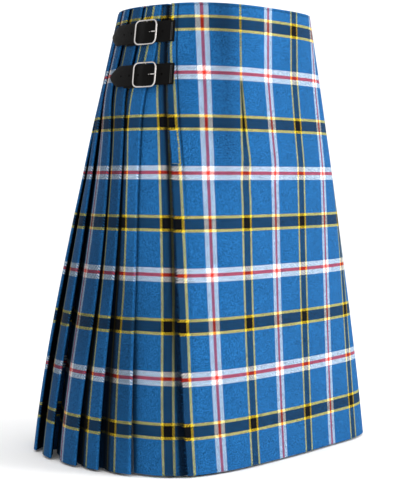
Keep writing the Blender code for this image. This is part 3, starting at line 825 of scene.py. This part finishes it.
def build_twill():
    """Group: two-over-two twill of warp and weft threads, its colour and its height.

    Warp lies on top where the fraction of (column + row) / 4 is under a half, and each thread's height is
    the sine of its own width. The two colours are mixed as a screen mixes them.
    """
    nodes, given, out = group_tree("twill", dict.fromkeys(("Across", "Down", "Thread", "Weft Only"), NUMBER),
                                   {"Colour": COLOUR, "Height": NUMBER})
    across, down = (nodes.math("DIVIDE", given[way], given["Thread"]) for way in ("Across", "Down"))
    steps = nodes.math("ADD", nodes.math("FLOOR", across), nodes.math("FLOOR", down))
    phase = nodes.math("FRACT", nodes.math("ADD", nodes.math("MULTIPLY", steps, 0.25), 0.125))
    warp_there = nodes.math("SUBTRACT", 1.0, given["Weft Only"])
    warp_on_top = nodes.math("MULTIPLY", nodes.math("LESS_THAN", phase, 0.5), warp_there)
    warp = nodes.group("sett", {"Distance": given["Across"]})["Colour"]
    weft_place = nodes.math("SUBTRACT", given["Down"], FIRST_DARK_WEFT)
    weft = nodes.group("weft sett", {"Distance": weft_place})["Colour"]
    share = nodes.math("MULTIPLY_ADD", warp_on_top, WARP_PARTS[1] - WARP_PARTS[0], WARP_PARTS[0])
    mixed = nodes.mix(nodes.math("MULTIPLY", share, warp_there),
                      nodes.gamma(weft, 1 / SCREEN_GAMMA), nodes.gamma(warp, 1 / SCREEN_GAMMA))
    warp_round, weft_round = (nodes.math("SINE", nodes.math("MULTIPLY", nodes.math("FRACT", way), math.pi))
                              for way in (across, down))
    top = nodes.math("MULTIPLY", warp_round, warp_on_top)
    other = nodes.math("MULTIPLY", weft_round, nodes.math("SUBTRACT", 1.0, warp_on_top))
    nodes.feed(out, {"Colour": nodes.gamma(mixed, SCREEN_GAMMA), "Height": nodes.math("ADD", top, other)})


def build_fuzz():
    """Group: wool's uneven dye and loose fibres, as a shade round 1 and a height."""
    nodes, given, out = group_tree("wool fuzz", {"Place": PLACE, "Amount": NUMBER},
                                   {"Shade": NUMBER, "Height": NUMBER})
    fine = nodes.math("MULTIPLY", nodes.noise(given["Place"], 760, 1.0, 0.5), FINE_DYE)
    broad = nodes.math("MULTIPLY", nodes.noise(given["Place"], 38, 3.0, 0.55), BROAD_DYE)
    uneven = nodes.math("SUBTRACT", nodes.math("ADD", fine, broad), (FINE_DYE + BROAD_DYE) / 2)
    nodes.feed(out, {"Shade": nodes.math("MULTIPLY_ADD", uneven, given["Amount"], 1.0),
                     "Height": nodes.noise(given["Place"], 2600, 3.0, 0.7)})


def build_grain():
    """Group: leather grain of small cells and creases, as a height, and a patchy polish mask."""
    nodes, given, out = group_tree("leather grain", {"Place": PLACE, "Scale": NUMBER},
                                   {"Height": NUMBER, "Polish": NUMBER})
    cells = nodes.make("ShaderNodeTexVoronoi", {"Vector": given["Place"], "Scale": given["Scale"]},
                       feature="DISTANCE_TO_EDGE")["Distance"]
    ridge = nodes.math("MINIMUM", nodes.math("MULTIPLY", cells, 4.0), 1.0)
    rough = nodes.math("MULTIPLY", nodes.noise(given["Place"], 900, 3.0, 0.6), 0.4)
    nodes.feed(out, {"Height": nodes.math("ADD", ridge, rough),
                     "Polish": nodes.noise(given["Place"], 120, 3.0, 0.6)})


def tartan_material(name, cloth, weft_only=0.0, shade=1.0):
    """Wool twill in the sett, darkened by the painted shade in its point attribute, lightened where that is
    below 0 as a painted highlight, and darkened all over by shade, which is also painted.
    """
    mat, nodes, shader = new_material(name)
    split = nodes.make("ShaderNodeSeparateXYZ", {"Vector": nodes.make("ShaderNodeUVMap", uv_map="cloth")["UV"]})
    weave = nodes.group("twill", {"Across": split["X"], "Down": split["Y"], "Thread": cloth.thread,
                                  "Weft Only": weft_only})
    fuzz = nodes.group("wool fuzz", {"Place": nodes.object_place(), "Amount": cloth.unevenness})
    crease = nodes.make("ShaderNodeAttribute", attribute_name="crease")["Fac"]
    left_lit = nodes.math("MULTIPLY_ADD", crease, -PAINTED_SHADE_DARK * shade, shade)
    light = nodes.math("MULTIPLY", fuzz["Shade"], left_lit)
    grey = nodes.make("ShaderNodeCombineXYZ", {"X": light, "Y": light, "Z": light})["Vector"]
    height = nodes.math("ADD", weave["Height"], nodes.math("MULTIPLY", fuzz["Height"], 0.7))
    nodes.feed(shader, {"Base Color": nodes.mix(1.0, weave["Colour"], grey, "MULTIPLY"), "Roughness": 0.85,
                        "IOR": 1.15, "Normal": nodes.bump(height, cloth.thread * 0.35, 0.6)})
    return mat


def leather_material(name, colour, grain):
    """Dyed and polished leather with fine grain."""
    mat, nodes, shader = new_material(name)
    made = nodes.group("leather grain", {"Place": nodes.object_place(), "Scale": 1.0 / grain})
    worn = tuple(min(1.0, part * 2 + 0.004) for part in colour)
    wear = nodes.math("MULTIPLY", made["Polish"], 0.35)
    nodes.feed(shader, {"Base Color": nodes.mix(wear, (*colour, 1), (*worn, 1)),
                        "Roughness": nodes.math("MULTIPLY_ADD", made["Polish"], 0.25, 0.38),
                        "IOR": 1.08, "Normal": nodes.bump(made["Height"], 0.00010, 0.5)})
    return mat


def chrome_material(name, metal):
    """Chrome plate with faint hairline wear, and painted shade where the wire turns away from the camera."""
    mat, nodes, shader = new_material(name)
    wear = nodes.noise(nodes.object_place(), 420, 4.0, 0.65)
    # painted shade: the plate darkens to the edge colour where the wire turns away from the camera
    grazing_shade = nodes.make("ShaderNodeLayerWeight", {"Blend": 0.35})["Facing"]
    plate = nodes.mix(wear, (*metal.colour, 1), (*metal.worn, 1))
    nodes.feed(shader, {"Base Color": nodes.mix(grazing_shade, plate, (*metal.edge, 1)), "Metallic": 1.0,
                        "Roughness": nodes.math("MULTIPLY_ADD", wear, 0.18, metal.roughness)})
    return mat


def plain_material(name, colour, roughness):
    """One colour with hardly any gloss."""
    mat, nodes, shader = new_material(name)
    nodes.feed(shader, {"Base Color": (*colour, 1), "Roughness": roughness, "IOR": 1.03})
    return mat


def found(make, name, *values, **options):
    """The material of this name, made if it isn't there yet."""
    return bpy.data.materials.get(name) or make(name, *values, **options)


def cloth_materials():
    """The looks of the aprons, the pleats and the loose threads, and their node groups, built once."""
    cloth = bpy.context.scene.kilt_cloth
    if "sett" not in bpy.data.node_groups:
        colours = {name: tuple(getattr(cloth, name)) for name in ("blue", "dark", "yellow", "white", "red")}
        build_sett("sett", SETT, SETT_REPEAT, colours)
        build_sett("weft sett", WEFT, WEFT_REPEAT, colours)
        build_twill()
        build_fuzz()
    return (found(tartan_material, "apron tartan", cloth),
            # the pleats' tartan is the same tartan with painted shade that darkens it all over
            found(tartan_material, "pleat tartan", cloth, shade=0.92),
            found(tartan_material, "fringe wool", cloth, weft_only=1.0))


# Leather and metal


class Strap(NamedTuple):
    """A strap's root, tip and buckle along the cloth, its level, and how far it leans along on its way down."""
    name: str
    root: float
    tip: float
    buckle: float
    level: float
    lean: float

    @property
    def away(self):
        """1 where the strap runs towards the back, else -1."""
        return 1.0 if self.tip > self.root else -1.0

    def place(self, along, down, rise):
        """Points at a length along the strap, down from its middle and up from the outline."""
        return on_cloth(along + self.lean * down, self.level + down, rise)

    def base(self, along):
        """Height of the strap's underside: over its buckle's bar, low under the side bars, eased between."""
        distance = (along - self.buckle) * self.away
        over_bar = BAR_RISE + BAR_WIRE / 2 + 2 * CLEARANCE
        low = np.where(distance < 0, CLEARANCE, TAB_THICK + 2 * CLEARANCE)
        return over_bar + (low - over_bar) * smoothstep(0, FRAME_LENGTH / 2 - FRAME_WIRE, np.abs(distance))

    def wire(self, along, down, rise, radius, sides, closed=False):
        """Points and faces of a wire along a path on the strap, its normals out of the cloth."""
        path = self.place(along, down, rise)
        return wire(path, self.place(along, down, rise + NORMAL_STEP) - path, radius, sides, closed)

    def sheet(self, name, along, down, top, bottom, material):
        """A closed wall of leather between its top and its bottom."""
        front, back = (self.place(along, down, rise) for rise in (top, bottom))
        return closed_sheet(name, front, back, material, angle=60)


STRAPS = (
    Strap("upper", -0.0150, 0.121, 0.0290, 0.0373, -0.08),
    Strap("lower", -0.0225, 0.100, 0.0209, 0.0948, -0.08),
    Strap("left", 0.484, 0.352, 0.401, 0.0480, 0.58),
)


def join_parts(parts):
    """Points and faces of several parts as those of one mesh."""
    starts = np.cumsum([0] + [len(points) for points, _ in parts])
    return (np.concatenate([points for points, _ in parts]),
            np.concatenate([faces + start for (_, faces), start in zip(parts, starts)]))


def strap_surface(strap, material):
    """A strap: square root, rounded point, edges that fall away as the sixth power of the share across."""
    length = abs(strap.tip - strap.root)
    to_tip = np.concatenate((np.linspace(length, STRAP_POINT, 84), np.linspace(STRAP_POINT, 0, 22)[1:]))[None]
    along = strap.tip - strap.away * to_tip
    across = np.array([-1, -0.97, -0.9, -0.7, -0.4, 0, 0.4, 0.7, 0.9, 0.97, 1.0])[:, None]
    half = STRAP_WIDTH / 2 * (TIP_SHARE + (1 - TIP_SHARE) * np.clip(to_tip / STRAP_POINT, 0, 1) ** 0.7)
    puff = PUFF * smoothstep(0, 0.02, np.minimum(to_tip, length - to_tip))
    ripple = 0.0002 * np.sin(along / 0.0031) * bell(along, strap.buckle, 0.016)
    middle = strap.base(along) + (puff + ripple) * (1 - across ** 2)
    top = middle - PUFF + STRAP_THICK * (1 - STRAP_BEVEL * across ** 6)
    bottom = strap.base(along) + 0.00025 * across ** 6
    return strap.sheet("strap_%s_leather" % strap.name, along, across * half, top, bottom, material)


def tab_surface(strap, material):
    """The buckle's tab, flat on the cloth, its edges rounded as the sixth power of the share across."""
    near = strap.buckle - strap.away * TAB_START
    along = np.linspace(near, near + strap.away * TAB_LENGTH, 40)[None]
    across = np.array([-1, -0.96, -0.85, -0.5, 0, 0.5, 0.85, 0.96, 1.0])[:, None]
    top = CLEARANCE + TAB_THICK * (1 - TAB_BEVEL * across ** 6)
    bottom = CLEARANCE + 0.0002 * across ** 6
    down = TAB_DROP + across * TAB_WIDTH / 2
    return strap.sheet("tab_%s_leather" % strap.name, along, down, top, bottom, material)


def frame_rise(distance):
    """The frame is dished: its height grows as the square of the share from its centre bar to its side bars."""
    share = np.clip(np.abs(distance) / (FRAME_LENGTH / 2 - FRAME_WIRE), 0, 1)
    return BAR_RISE + (FRAME_RISE - BAR_RISE) * share ** 2


def rounded_rectangle(half_long, half_high, corner, steps):
    """Points round a rectangle with quarter circles for corners, from the middle of one side bar."""
    turn = np.linspace(0, math.pi / 2, steps)
    long_side = np.linspace(half_long - corner, corner - half_long, 14)[1:-1]
    high_side = np.linspace(half_high - corner, corner - half_high, 8)[1:-1]
    half_side = np.linspace(0, half_high - corner, 4)[:-1]
    quarters = []
    for side, up, start in ((1, 1, 0), (-1, 1, 1), (-1, -1, 2), (1, -1, 3)):
        angle = turn + start * math.pi / 2
        quarters.append((side * (half_long - corner) + corner * np.cos(angle),
                         up * (half_high - corner) + corner * np.sin(angle)))
    first, second, third, fourth = quarters
    path = ((0 * half_side + half_long, half_side), first, (long_side, 0 * long_side + half_high), second,
            (0 * high_side - half_long, high_side), third, (-long_side, 0 * long_side - half_high), fourth,
            (0 * half_side + half_long, np.linspace(corner - half_high, 0, 4)[:-1]))
    return np.concatenate(path, axis=1)


def buckle_mesh(strap, material):
    """The frame's wire swept round its rectangle, and its centre bar, in one piece."""
    across, over = rounded_rectangle((FRAME_LENGTH - FRAME_WIRE) / 2, (FRAME_HEIGHT - FRAME_WIRE) / 2,
                                     FRAME_CORNER, 9)
    outer = strap.wire(strap.buckle + across, -over, frame_rise(across), FRAME_WIRE / 2, 14, closed=True)
    reach = np.linspace(-1, 1, 12) * (FRAME_HEIGHT / 2 - FRAME_WIRE * 0.7)
    bar = strap.wire(strap.buckle, -reach, BAR_RISE, BAR_WIRE / 2, 10)
    return mesh_object("buckle_%s_frame" % strap.name, *join_parts((outer, bar)), material, angle=60)


def prong_mesh(strap, material):
    """The prong, tapered, rising out of the strap's hole and resting on the side bar nearest the root."""
    start = BAR_RISE + BAR_WIRE / 2 + 2 * CLEARANCE + STRAP_THICK - PRONG_SUNK
    on_frame = FRAME_RISE + FRAME_WIRE / 2 + PRONG_WIRE / 2
    share = np.linspace(0, 1, 16)
    distance = PRONG_START + share * (FRAME_LENGTH / 2 - PRONG_START + 0.0004)
    rise = start + (on_frame - start) * smoothstep(0, 0.55, share)
    radius = PRONG_WIRE / 2 * (1.0 - 0.25 * share) * np.sqrt(np.clip((1.03 - share) / 0.06, 0.05, 1))
    prong = strap.wire(strap.buckle - strap.away * distance, 0.0, rise, radius, 12)
    return mesh_object("prong_%s_pin" % strap.name, *prong, material, angle=60)


def stitch_mesh(strap, material):
    """Stitches in rows across the strap's root, each bowed up as a parabola."""
    share = np.linspace(-1, 1, 6)
    rows = []
    for row, inset in enumerate(STITCH_ROWS[:1] if strap.name == "left" else STITCH_ROWS):
        along = strap.root + strap.away * inset
        rise = strap.base(along) + STRAP_THICK - 0.0001 + STITCH_BOW * (1 - share ** 2)
        for stitch in range(STITCHES):
            middle = (stitch - (STITCHES - 1) / 2) * STITCH_SPACING + row * 0.0006
            rows.append(strap.wire(along, middle + STITCH_HALF * share, rise, STITCH_RADIUS, 6))
    return mesh_object("stitches_" + strap.name, *join_parts(rows), material)


def hole_shadow_mesh(strap, material):
    """Near-black rounds of painted shadow for the punched holes along the strap's middle, left out near its
    ends.
    """
    turn = np.linspace(0, 2 * math.pi, 16, endpoint=False)[None]
    radius = np.array([0.0, 0.0008, 0.00125, 0.0015])[:, None]
    over = STRAP_THICK + np.array([0.0, 0.0, 0.00006, -0.0001])[:, None]
    spots = []
    for hole in (-1, 0, 1, 2, 3):
        centre = strap.buckle - strap.away * (FIRST_HOLE - HOLE_SPACING * hole)
        if abs(centre - strap.tip) < STRAP_POINT * 0.6 or (centre - strap.root) * strap.away < 0.008:
            continue
        along = centre + radius * np.cos(turn)
        points = strap.place(along, radius * np.sin(turn), strap.base(along) + over)
        spots.append((points.reshape(-1, 3), grid_faces(*along.shape, wrap=True)))
    return mesh_object("holes_" + strap.name, *join_parts(spots), material)


# Properties and operators


def colour_value(name, description, *default):
    """A colour property."""
    return FloatVectorProperty(name=name, description=description, subtype="COLOR", default=default,
                               min=0, max=1)


def number(name, description, default, **limits):
    """A property that is any number within its limits."""
    return FloatProperty(name=name, description=description, default=default, **limits)


def count_of(name, description, default, **limits):
    """A property that is a whole number."""
    return IntProperty(name=name, description=description, default=default, **limits)


class KiltCloth(bpy.types.PropertyGroup):
    blue: colour_value("Blue", "Ground colour of the sett", 0.0125, 0.105, 0.286)
    dark: colour_value("Dark", "Dark stripe", 0.0024, 0.0030, 0.0042)
    yellow: colour_value("Yellow", "Yellow guard lines", 0.760, 0.520, 0.020)
    white: colour_value("White", "White stripes", 0.800, 0.800, 0.800)
    red: colour_value("Red", "Red stripe between the white ones", 0.720, 0.030, 0.018)
    thread: number("Thread", "Width of one thread", 0.00095, min=0.0002, unit="LENGTH")
    unevenness: number("Unevenness", "How uneven the wool's dye is", 0.30, min=0)
    rows: count_of("Rows", "Rows of faces from top to hem", 118, min=20)
    strands: count_of("Fringe strands", "Loose threads at the free edge", 330, min=10)
    fringe: number("Fringe length", "Usual length of a loose thread", 0.0038, unit="LENGTH")


class KiltLeather(bpy.types.PropertyGroup):
    colour: colour_value("Leather", "Colour of the straps", 0.0042, 0.0040, 0.0040)
    thread: colour_value("Stitching", "Colour of the strap's stitches", 0.090, 0.090, 0.088)
    grain: number("Grain", "Size of the leather's grain", 0.0009, min=0.0001, unit="LENGTH")


class KiltMetal(bpy.types.PropertyGroup):
    colour: colour_value("Chrome", "Colour of the plate", 0.72, 0.70, 0.69)
    worn: colour_value("Worn plate", "Colour where the plate is rubbed", 0.50, 0.46, 0.44)
    # painted shade: the colour that the plate darkens to where the wire turns away from the camera
    edge: colour_value("Turning edge", "Colour where the wire turns away", 0.05, 0.05, 0.05)
    roughness: number("Roughness", "Roughness of clean plate", 0.12, min=0, max=1)


class KiltStage(bpy.types.PropertyGroup):
    floor: colour_value("Floor", "Colour of the floor", 0.97, 0.97, 0.97)
    key: number("Key light", "Power of the main softbox", 62.0, min=0, unit="POWER")
    fill: number("Fill light", "Power of the softbox by the pleats", 2.0, min=0, unit="POWER")
    world: number("Surround", "Strength of the white surround", 1.15, min=0)


class KILT_OT_over_apron(bpy.types.Operator):
    """Make the over apron with its dart and stitched edge"""
    bl_idname = "kilt.over_apron"
    bl_label = "Over apron"

    def execute(self, context):
        apron, _, _ = cloth_materials()
        levels = np.linspace(0, LENGTH, context.scene.kilt_cloth.rows)
        ends = [end + step for end in FRAYED for step in (0.0, FRAY_STEP)]
        levels = np.sort(np.concatenate((levels, ROLL_ROWS, ends)))
        obj = cloth_piece("over_apron_cloth", over_apron_rows, levels, apron)
        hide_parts("over_apron")
        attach(obj, "root")
        return {"FINISHED"}


class KILT_OT_fringe(bpy.types.Operator):
    """Make the loose threads along the over apron's free edge"""
    bl_idname = "kilt.fringe"
    bl_label = "Fringe"

    def execute(self, context):
        cloth = context.scene.kilt_cloth
        _, _, ends = cloth_materials()
        count = cloth.strands
        random = np.random.RandomState(7)
        level = np.linspace(0.002, LENGTH - 0.001, count) + random.uniform(-0.0006, 0.0006, count)
        edge = curve_through(PLEAT_TABLE, 1, level)
        length = cloth.fringe * random.uniform(0.45, 1.25, count)
        share = np.linspace(0, 1, 5)[None]
        along = edge[:, None] - 0.0008 + length[:, None] * share
        down = level[:, None] + random.uniform(-0.0012, 0.0014, count)[:, None] * share ** 1.5
        down = np.clip(down, 0.0005, LENGTH)
        depth = HALF + random.uniform(-0.0006, 0.0009, count)[:, None] * share ** 2
        centre = on_cloth(along, down, -depth, rows=60)
        radius = 0.00030 * (1 - 0.55 * share[0])
        turn = np.radians([90, 210, 330])
        up_way = np.array([0.0, 0.0, 1.0])
        out_way = on_cloth(along, down, NORMAL_STEP - depth, rows=60) - centre
        out_way /= np.linalg.norm(out_way, axis=-1, keepdims=True)
        ring = up_way * np.cos(turn)[:, None] + out_way[:, :, None] * np.sin(turn)[:, None]
        points = centre[:, :, None] + ring * radius[None, :, None, None]
        faces = grid_faces(5, 3, wrap=True)[None] + (np.arange(count) * 15)[:, None, None]
        uv = np.stack(np.broadcast_arrays(np.zeros((count, 15)), level[:, None]), axis=-1)
        obj = mesh_object("fringe_threads", points.reshape(-1, 3), faces.reshape(-1, 4), ends,
                          uv.reshape(-1, 2), np.zeros(count * 15), angle=180)
        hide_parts("fringe")
        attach(obj, "root")
        return {"FINISHED"}


class KILT_OT_pleats(bpy.types.Operator):
    """Make the knife-pleated back"""
    bl_idname = "kilt.pleats"
    bl_label = "Pleated back"

    def execute(self, context):
        _, pleat, _ = cloth_materials()
        rows = min(context.scene.kilt_cloth.rows, 92)
        levels = CLOTH_TOP + (LENGTH - CLOTH_TOP) * np.linspace(0, 1, rows)
        obj = cloth_piece("pleated_back_cloth", pleat_rows, levels, pleat, drop=0.001)
        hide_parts("pleated_back")
        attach(obj, "root")
        return {"FINISHED"}


class KILT_OT_under_apron(bpy.types.Operator):
    """Make the under apron"""
    bl_idname = "kilt.under_apron"
    bl_label = "Under apron"

    def execute(self, context):
        apron, _, _ = cloth_materials()
        levels = np.linspace(CLOTH_TOP, LENGTH, 60)
        obj = cloth_piece("under_apron_cloth", under_apron_rows, levels, apron)
        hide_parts("under_apron")
        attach(obj, "root")
        return {"FINISHED"}


class KILT_OT_waistband(bpy.types.Operator):
    """Make the band that closes the top of the pleats"""
    bl_idname = "kilt.waistband"
    bl_label = "Waistband"

    def execute(self, context):
        _, pleat, _ = cloth_materials()
        # depth and level of the profile's outer side, then of its inner side
        outside = np.array([(0.0006, 0.0013), (0.0030, 0.0012), (0.0100, 0.0012), (0.0120, 0.0016),
                            (0.0125, 0.0040), (0.0126, 0.0200), (0.0126, BAND_HEIGHT)])
        inside = np.array([(0.0007, 0.0001), (0.0030, 0.0000), (0.0110, 0.0000), (0.0134, 0.0006),
                           (0.0138, 0.0036), (0.0138, 0.0200), (0.0138, BAND_HEIGHT)])
        grids = []
        for side in (outside, inside):
            outline = Outline(side[:, 1])
            edges = fold_edges(outline)
            start = edges[:, :1] + FIRST_FOLD_TUCK + BAND_START
            along = span(start, edges[:, -1:] - BAND_STOP, 190)
            grids.append(outline.place(along, side[:, :1]))
        down = np.cumsum(np.concatenate(([0.0], np.hypot(*np.diff(outside, axis=0).T))))[:, None] + 0 * along
        uv = np.stack((along + BAND_COLOUR, down), axis=-1)
        # the band's colour carries painted shade all over
        obj = closed_sheet("waistband_cloth", *grids, pleat, uv, BAND_SHADE + 0 * along)
        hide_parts("waistband")
        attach(obj, "root")
        return {"FINISHED"}


class KILT_OT_straps(bpy.types.Operator):
    """Make the leather straps and tabs, with their stitches and the painted shadows of their holes"""
    bl_idname = "kilt.straps"
    bl_label = "Straps"

    def execute(self, context):
        look = context.scene.kilt_leather
        if "leather grain" not in bpy.data.node_groups:
            build_grain()
        leather = found(leather_material, "black leather dressed", look.colour, look.grain)
        thread = found(plain_material, "strap thread", look.thread, 0.7)
        # near-black painted shadow for the strap's punched holes
        shadow = found(plain_material, "punched hole", (0.0004, 0.0004, 0.0004), 0.9)
        for strap in STRAPS:
            belt = strap_surface(strap, leather)
            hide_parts("strap_" + strap.name)
            tab = tab_surface(strap, leather)
            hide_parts("tab_" + strap.name)
            for obj in (belt, tab, stitch_mesh(strap, thread), hole_shadow_mesh(strap, shadow)):
                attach(obj, "root")
        return {"FINISHED"}


class KILT_OT_buckles(bpy.types.Operator):
    """Make the chrome buckles and prongs"""
    bl_idname = "kilt.buckles"
    bl_label = "Buckles"

    def execute(self, context):
        chrome = found(chrome_material, "chrome plate", context.scene.kilt_metal)
        for strap in STRAPS:
            buckle = buckle_mesh(strap, chrome)
            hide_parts("buckle_" + strap.name)
            prong = prong_mesh(strap, chrome)
            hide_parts("prong_" + strap.name)
            for obj in (buckle, prong):
                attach(obj, "root")
        return {"FINISHED"}


class KILT_OT_stage(bpy.types.Operator):
    """Make the floor, the lights and the camera"""
    bl_idname = "kilt.stage"
    bl_label = "Stage"

    def execute(self, context):
        look = context.scene.kilt_stage
        bottom = TOP_HEIGHT - DROP_PER_LENGTH * LENGTH - FLOOR_GAP
        side = 14.0
        points = [(-side, -side, bottom), (side, -side, bottom), (side, side, bottom), (-side, side, bottom)]
        floor = mesh_object("floor", points, np.array([(0, 1, 2, 3)]), plain_material("floor", look.floor, 0.8))

        world = bpy.data.worlds.new("surround")
        world.use_nodes = True
        surround = world.node_tree.nodes["Background"]
        surround.inputs["Color"].default_value = (1.0, 1.0, 1.0, 1.0)
        surround.inputs["Strength"].default_value = look.world
        context.scene.world = world
        context.scene.view_settings.view_transform = "Standard"

        lights = (("key", (0.9, -2.6, 1.2), 1.6, look.key), ("fill", (-2.6, 0.3, 0.6), 1.2, look.fill))
        for name, spot, size, power in lights:
            lamp = bpy.data.lights.new(name, "AREA")
            lamp.size = size
            lamp.energy = power
            obj = bpy.data.objects.new(name, lamp)
            obj.location = spot
            aim = np.array((0.0, 0.0, -0.25)) - np.array(spot)
            flat = math.hypot(aim[0], aim[1])
            obj.rotation_euler = (math.atan2(flat, -aim[2]), 0.0, math.atan2(-aim[0], aim[1]))
            context.scene.collection.objects.link(obj)

        lens = bpy.data.cameras.new("camera")
        lens.sensor_width = 36.0
        lens.lens = CAMERA_LENS
        lens.clip_start = 0.05
        lens.clip_end = 60.0
        camera = bpy.data.objects.new("camera", lens)
        camera.location = CAMERA_PLACE
        camera.rotation_euler = (math.radians(90 - CAMERA_PITCH), 0.0, -math.radians(CAMERA_HEADING))
        context.scene.collection.objects.link(camera)
        context.scene.camera = camera
        return {"FINISHED"}


class KILT_OT_declare(bpy.types.Operator):
    """An empty step, which does nothing"""
    bl_idname = "kilt.declare"
    bl_label = "Cloth sizes"

    def execute(self, context):
        return {"FINISHED"}


class KILT_PT_panel(bpy.types.Panel):
    """Shows the kilt's settings and a button for each step"""
    bl_idname = "KILT_PT_panel"
    bl_label = "Kilt"
    bl_space_type = "VIEW_3D"
    bl_region_type = "UI"
    bl_category = "Kilt"

    def draw(self, context):
        for group in ("kilt_cloth", "kilt_leather", "kilt_metal", "kilt_stage"):
            box = self.layout.box()
            values = getattr(context.scene, group)
            for name in values.__annotations__:
                box.prop(values, name)
        for step in STEPS:
            self.layout.operator(step.bl_idname)


STEPS = (KILT_OT_over_apron, KILT_OT_fringe, KILT_OT_pleats, KILT_OT_under_apron, KILT_OT_waistband,
         KILT_OT_straps, KILT_OT_buckles, KILT_OT_declare, KILT_OT_stage)
GROUPS = {"kilt_cloth": KiltCloth, "kilt_leather": KiltLeather, "kilt_metal": KiltMetal,
          "kilt_stage": KiltStage}


def register():
    for name, group in GROUPS.items():
        bpy.utils.register_class(group)
        setattr(bpy.types.Scene, name, PointerProperty(type=group))
    for made in STEPS + (KILT_PT_panel,):
        bpy.utils.register_class(made)


def unregister():
    for made in reversed(STEPS + (KILT_PT_panel,)):
        bpy.utils.unregister_class(made)
    for name, group in GROUPS.items():
        delattr(bpy.types.Scene, name)
        bpy.utils.unregister_class(group)


def main():
    register()
    for step in STEPS:
        family, name = step.bl_idname.split(".")
        getattr(getattr(bpy.ops, family), name)()


if __name__ == "__main__":
    main()
